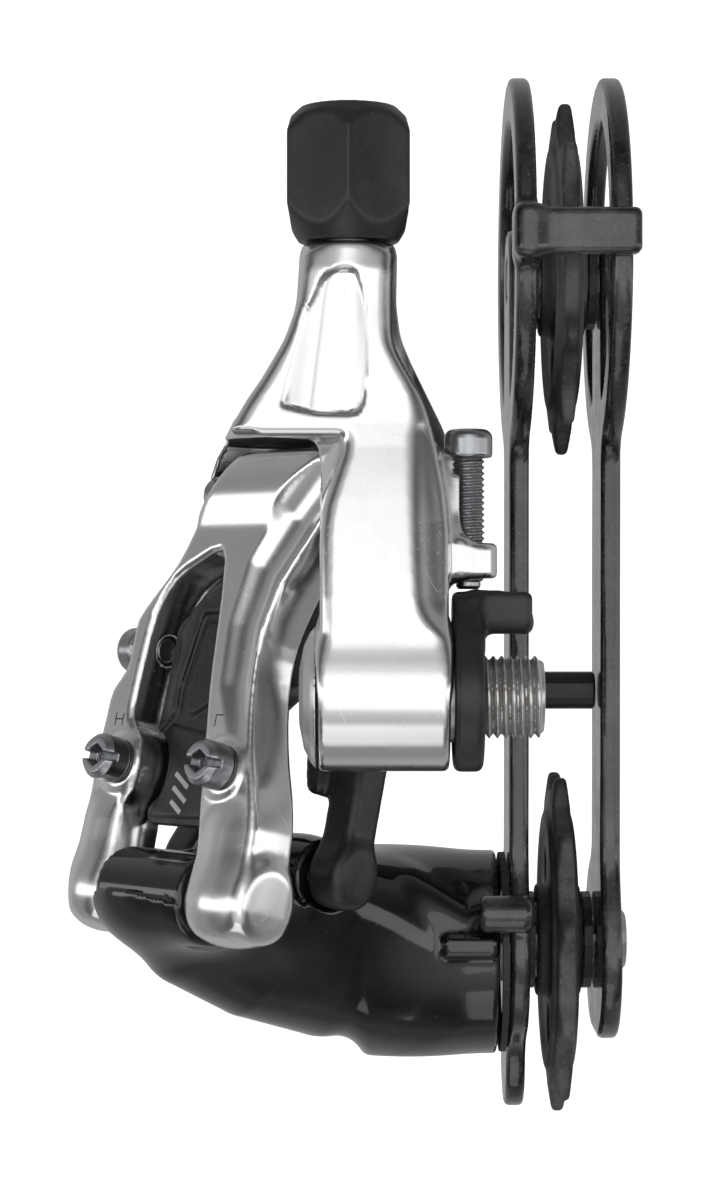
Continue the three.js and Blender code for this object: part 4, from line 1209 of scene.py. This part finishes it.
DUST = (0.36, 0.35, 0.33)
GREASE = (0.018, 0.015, 0.012)
FINISHES = {
    "polished_alloy": finish_of(
        "polished alloy", (0.80, 0.80, 0.795), 0.17, 1.0,
        layers=[("grain_x", 0.45, (0.70, 0.70, 0.70), 0.30, None, {}),
                ("smudges", 0.5, None, 0.26, None, {}),
                ("scratches", 0.35, (0.9, 0.9, 0.9), 0.4, None, {}),
                ("grime", 0.55, (0.12, 0.11, 0.10), 0.6, 0.3, {})],
        reliefs=[("grain_x", 0.004), ("scratches", 0.006)]),
    "satin_alloy": finish_of(
        "satin alloy", (0.70, 0.70, 0.70), 0.30, 1.0,
        layers=[("grain_y", 0.5, (0.55, 0.55, 0.56), 0.42, None, {}),
                ("grime", 0.85, (0.10, 0.075, 0.05), 0.6, 0.2, {}),
                ("scratches", 0.4, (0.85, 0.85, 0.85), 0.4, None, {})],
        reliefs=[("pitting", 0.01)]),
    "zinc_steel": finish_of(
        "zinc plated steel", (0.40, 0.41, 0.42), 0.26, 1.0,
        layers=[("smudges", 0.7, (0.30, 0.31, 0.33), 0.38, None, {}),
                ("edges", 0.6, (0.62, 0.62, 0.62), 0.3, None, {"Threshold": 0.85}),
                ("grime", 0.8, GREASE, 0.6, 0.1, {})],
        reliefs=[("pitting", 0.012), ("scratches", 0.006)]),
    "spring_steel": finish_of(
        "spring steel", (0.10, 0.10, 0.105), 0.4, 1.0,
        layers=[("smudges", 0.6, (0.05, 0.045, 0.04), 0.55, None, {})], reliefs=[("pitting", 0.01)]),
    "bronze": finish_of(
        "bearing bronze", (0.50, 0.32, 0.15), 0.4, 1.0,
        layers=[("smudges", 0.6, (0.25, 0.16, 0.08), 0.55, None, {})], reliefs=[("grain_y", 0.01)]),
    "gloss_black": finish_of(
        "gloss black lacquer", (0.0045, 0.0045, 0.005), 0.11, 0.0, 0.6,
        layers=[("smudges", 0.35, (0.010, 0.010, 0.011), 0.2, None, {}),
                ("scratches", 0.30, (0.10, 0.10, 0.10), 0.35, None, {}),
                ("dust", 0.05, DUST, 0.6, None, {}),
                ("edges", 0.55, (0.16, 0.16, 0.16), 0.5, None, {"Threshold": 1.12})],
        reliefs=[("scratches", 0.004)]),
    "satin_black": finish_of(
        "satin black anodising", (0.012, 0.012, 0.013), 0.36, 0.0,
        layers=[("grain_y", 0.5, (0.030, 0.030, 0.031), 0.46, None, {}),
                ("edges", 0.5, (0.10, 0.10, 0.10), 0.45, None, {"Threshold": 1.05}),
                ("dust", 0.10, DUST, 0.7, None, {})],
        reliefs=[("grain_y", 0.016), ("pitting", 0.006)]),
    "filled_nylon": finish_of(
        "fibre filled nylon", (0.010, 0.010, 0.011), 0.34, 0.0,
        layers=[("flecks", 0.35, (0.045, 0.045, 0.047), 0.48, None, {}),
                ("dust", 0.12, DUST, 0.75, None, {}),
                ("edges", 0.35, (0.12, 0.12, 0.12), 0.6, None, {"Threshold": 1.1})],
        reliefs=[("flecks", 0.012), ("pitting", 0.014)]),
    "carbon": finish_of(
        "lacquered carbon fibre", (0.006, 0.006, 0.007), 0.16, 0.0, 0.7,
        layers=[("weave", 0.6, (0.020, 0.020, 0.022), 0.26, None, {}),
                ("smudges", 0.5, (0.03, 0.03, 0.031), 0.42, None, {}),
                ("dust", 0.42, DUST, 0.7, None, {}),
                ("edges", 0.9, (0.26, 0.26, 0.26), 0.65, None, {"Threshold": 0.88})],
        reliefs=[("weave", 0.006), ("scratches", 0.008)]),
    "worn_resin": finish_of(
        "worn pulley resin", (0.034, 0.037, 0.040), 0.48, 0.0,
        layers=[("smudges", 0.6, (0.045, 0.047, 0.050), 0.6, None, {}),
                ("dust", 0.55, DUST, 0.85, None, {}),
                ("edges", 0.85, (0.20, 0.205, 0.21), 0.6, None, {"Threshold": 0.85}),
                ("grime", 0.7, GREASE, 0.5, None, {})],
        reliefs=[("pitting", 0.03), ("scratches", 0.02)]),
    "rubber": finish_of(
        "seal rubber", (0.012, 0.012, 0.012), 0.6, 0.0,
        layers=[("dust", 0.2, DUST, 0.8, None, {})], reliefs=[("pitting", 0.02)]),
}

for thing in made.values():
    thing.data.materials.append(FINISHES[thing["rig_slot"]])
engraving = finish_of("dark letter paint", (0.02, 0.02, 0.02), 0.5, 0.0,
                      layers=[("smudges", 0.6, (0.06, 0.06, 0.06), 0.7, None, {})],
                      reliefs=[("pitting", 0.01)])
print_paint = finish_of("pale pad print", (0.62, 0.62, 0.60), 0.45, 0.0,
                        layers=[("smudges", 0.6, (0.42, 0.42, 0.41), 0.6, None, {}),
                                ("scratches", 0.6, (0.05, 0.05, 0.05), 0.5, None, {})],
                        reliefs=[("pitting", 0.01)])
letter_h.data.materials.append(engraving)
letter_l.data.materials.append(engraving)
bars.data.materials.append(print_paint)

# the small pieces that keep their drawn shape get a soft edge and the same finishes
KEPT = {
    "bolt_clip": "spring_steel", "hanger_bushing": "bronze",
    "inner_rear_pin": "zinc_steel", "adjuster_stem": "satin_alloy", "outer_front_pin": "zinc_steel",
    "cable_anchor_washer": "zinc_steel", "inner_front_pin": "zinc_steel", "return_spring": "spring_steel",
    "cage_bushing": "bronze", "cage_spring": "spring_steel", "cage_seal": "rubber",
    "cage_axle": "zinc_steel", "cage_rod": "satin_black",
    "guide_bearing": "zinc_steel", "guide_outer_dust_cover": "filled_nylon",
    "guide_inner_dust_cover": "filled_nylon", "guide_pulley_bolt": "zinc_steel",
    "tension_bearing": "zinc_steel", "tension_outer_dust_cover": "filled_nylon",
    "tension_inner_dust_cover": "filled_nylon", "tension_pulley_bolt": "zinc_steel",
}
for name, slot in KEPT.items():
    thing = frame["nodes"][name]
    thing.data.materials.clear()
    thing.data.materials.append(FINISHES[slot])
    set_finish(thing, slot)
    soften = thing.modifiers.new("soft edges", "BEVEL")
    soften.width = 0.15 * MM
    soften.segments = 2
    soften.limit_method = "ANGLE"
    soften.angle_limit = math.radians(40)
    thing.data.shade_smooth()
    thing.data.set_sharp_from_angle(angle=math.radians(40))

# ------------------------------------------------------------------ studio

def look(name, strength, size, place, target=(0, 0, -0.02), size_y=None):
    light = bpy.data.lights.new(name, "AREA")
    light.shape = "RECTANGLE"
    light.size, light.size_y = size, size_y or size
    light.energy = strength
    lamp = bpy.data.objects.new(name, light)
    bpy.context.scene.collection.objects.link(lamp)
    lamp.location = place
    lamp.rotation_mode = "QUATERNION"
    lamp.rotation_quaternion = (Vector(target) - Vector(place)).to_track_quat("-Z", "Y")


look("overhead softbox", 0.58, 0.5, (-0.05, 0.02, 0.62))
look("left strip", 0.5, 0.14, (-0.02, -0.42, 0.22), size_y=0.7)
look("right strip", 0.4, 0.14, (0.0, 0.44, 0.20), size_y=0.7)
look("front softbox", 0.45, 0.4, (0.5, -0.1, 0.3))

# a white paper floor that is bright to the camera and dim in the metal's reflections
floor_mesh = bpy.data.meshes.new("studio_floor")
FLOOR_REACH, FLOOR_HEIGHT = 12, -0.19
quarters = ((-1, -1), (1, -1), (1, 1), (-1, 1))
floor_corners = [(x * FLOOR_REACH, y * FLOOR_REACH, FLOOR_HEIGHT) for x, y in quarters]
floor_mesh.from_pydata(floor_corners, [], [(0, 1, 2, 3)])
studio_floor = bpy.data.objects.new("studio_floor", floor_mesh)
bpy.context.scene.collection.objects.link(studio_floor)
paper = bpy.data.materials.new("white paper")
paper.use_nodes = True
sheet = paper.node_tree
sheet_shader = sheet.nodes["Principled BSDF"]
sheet_shader.inputs["Base Color"].default_value = (0.6, 0.6, 0.6, 1)
sheet_shader.inputs["Roughness"].default_value = 0.9
sheet_shader.inputs["Emission Color"].default_value = (1, 1, 1, 1)
seen = sheet.nodes.new("ShaderNodeLightPath")
glow = stepped(sheet, seen.outputs["Is Camera Ray"], 0, 1, 0.05, 0.85)
sheet.links.new(glow, sheet_shader.inputs["Emission Strength"])
floor_mesh.materials.append(paper)

# the air: white to the camera, and in reflections grey at the sides with a paler top
world = bpy.data.worlds.new("studio")
bpy.context.scene.world = world
world.use_nodes = True
sky = world.node_tree
direction = sky.nodes.new("ShaderNodeTexCoord")
upward = sky.nodes.new("ShaderNodeSeparateXYZ")
sky.links.new(direction.outputs["Generated"], upward.inputs[0])
ramp = sky.nodes.new("ShaderNodeValToRGB")
ramp.color_ramp.elements[0].position = 0.0
ramp.color_ramp.elements[0].color = (0.45, 0.45, 0.46, 1)
ramp.color_ramp.elements[1].position = 1.0
ramp.color_ramp.elements[1].color = (0.95, 0.95, 0.95, 1)
for position, value in ((0.48, 0.45), (0.56, 0.24), (0.70, 0.10), (0.80, 0.22), (0.90, 0.62)):
    band = ramp.color_ramp.elements.new(position)
    band.color = (value, value, value * 1.01, 1)
steepness = sums(sky, "MULTIPLY_ADD", upward.outputs["Z"], 0.5, 0.5)
sky.links.new(steepness, ramp.inputs["Fac"])
ray = sky.nodes.new("ShaderNodeLightPath")
pale = laid_over(sky, ramp.outputs["Color"], (1.25, 1.25, 1.25), ray.outputs["Is Camera Ray"])
sky.links.new(pale, sky.nodes["Background"].inputs["Color"])
sky.nodes["Background"].inputs["Strength"].default_value = 0.8

# the camera looks straight down, with the object's front at the foot of the picture
CAMERA_X, CAMERA_Y, CAMERA_HEIGHT = -0.01205, -0.0148, 0.338
camera = bpy.data.cameras.new("camera")
camera.sensor_width = 36
camera.lens = 84.5729
camera.clip_start, camera.clip_end = 0.01, 20
viewer = bpy.data.objects.new("camera", camera)
bpy.context.scene.collection.objects.link(viewer)
viewer.matrix_world = Matrix((
    (0, -1, 0, CAMERA_X),
    (1, 0, 0, CAMERA_Y),
    (0, 0, 1, CAMERA_HEIGHT),
    (0, 0, 0, 1),
))
bpy.context.scene.camera = viewer
bpy.context.scene.view_settings.view_transform = "Standard"
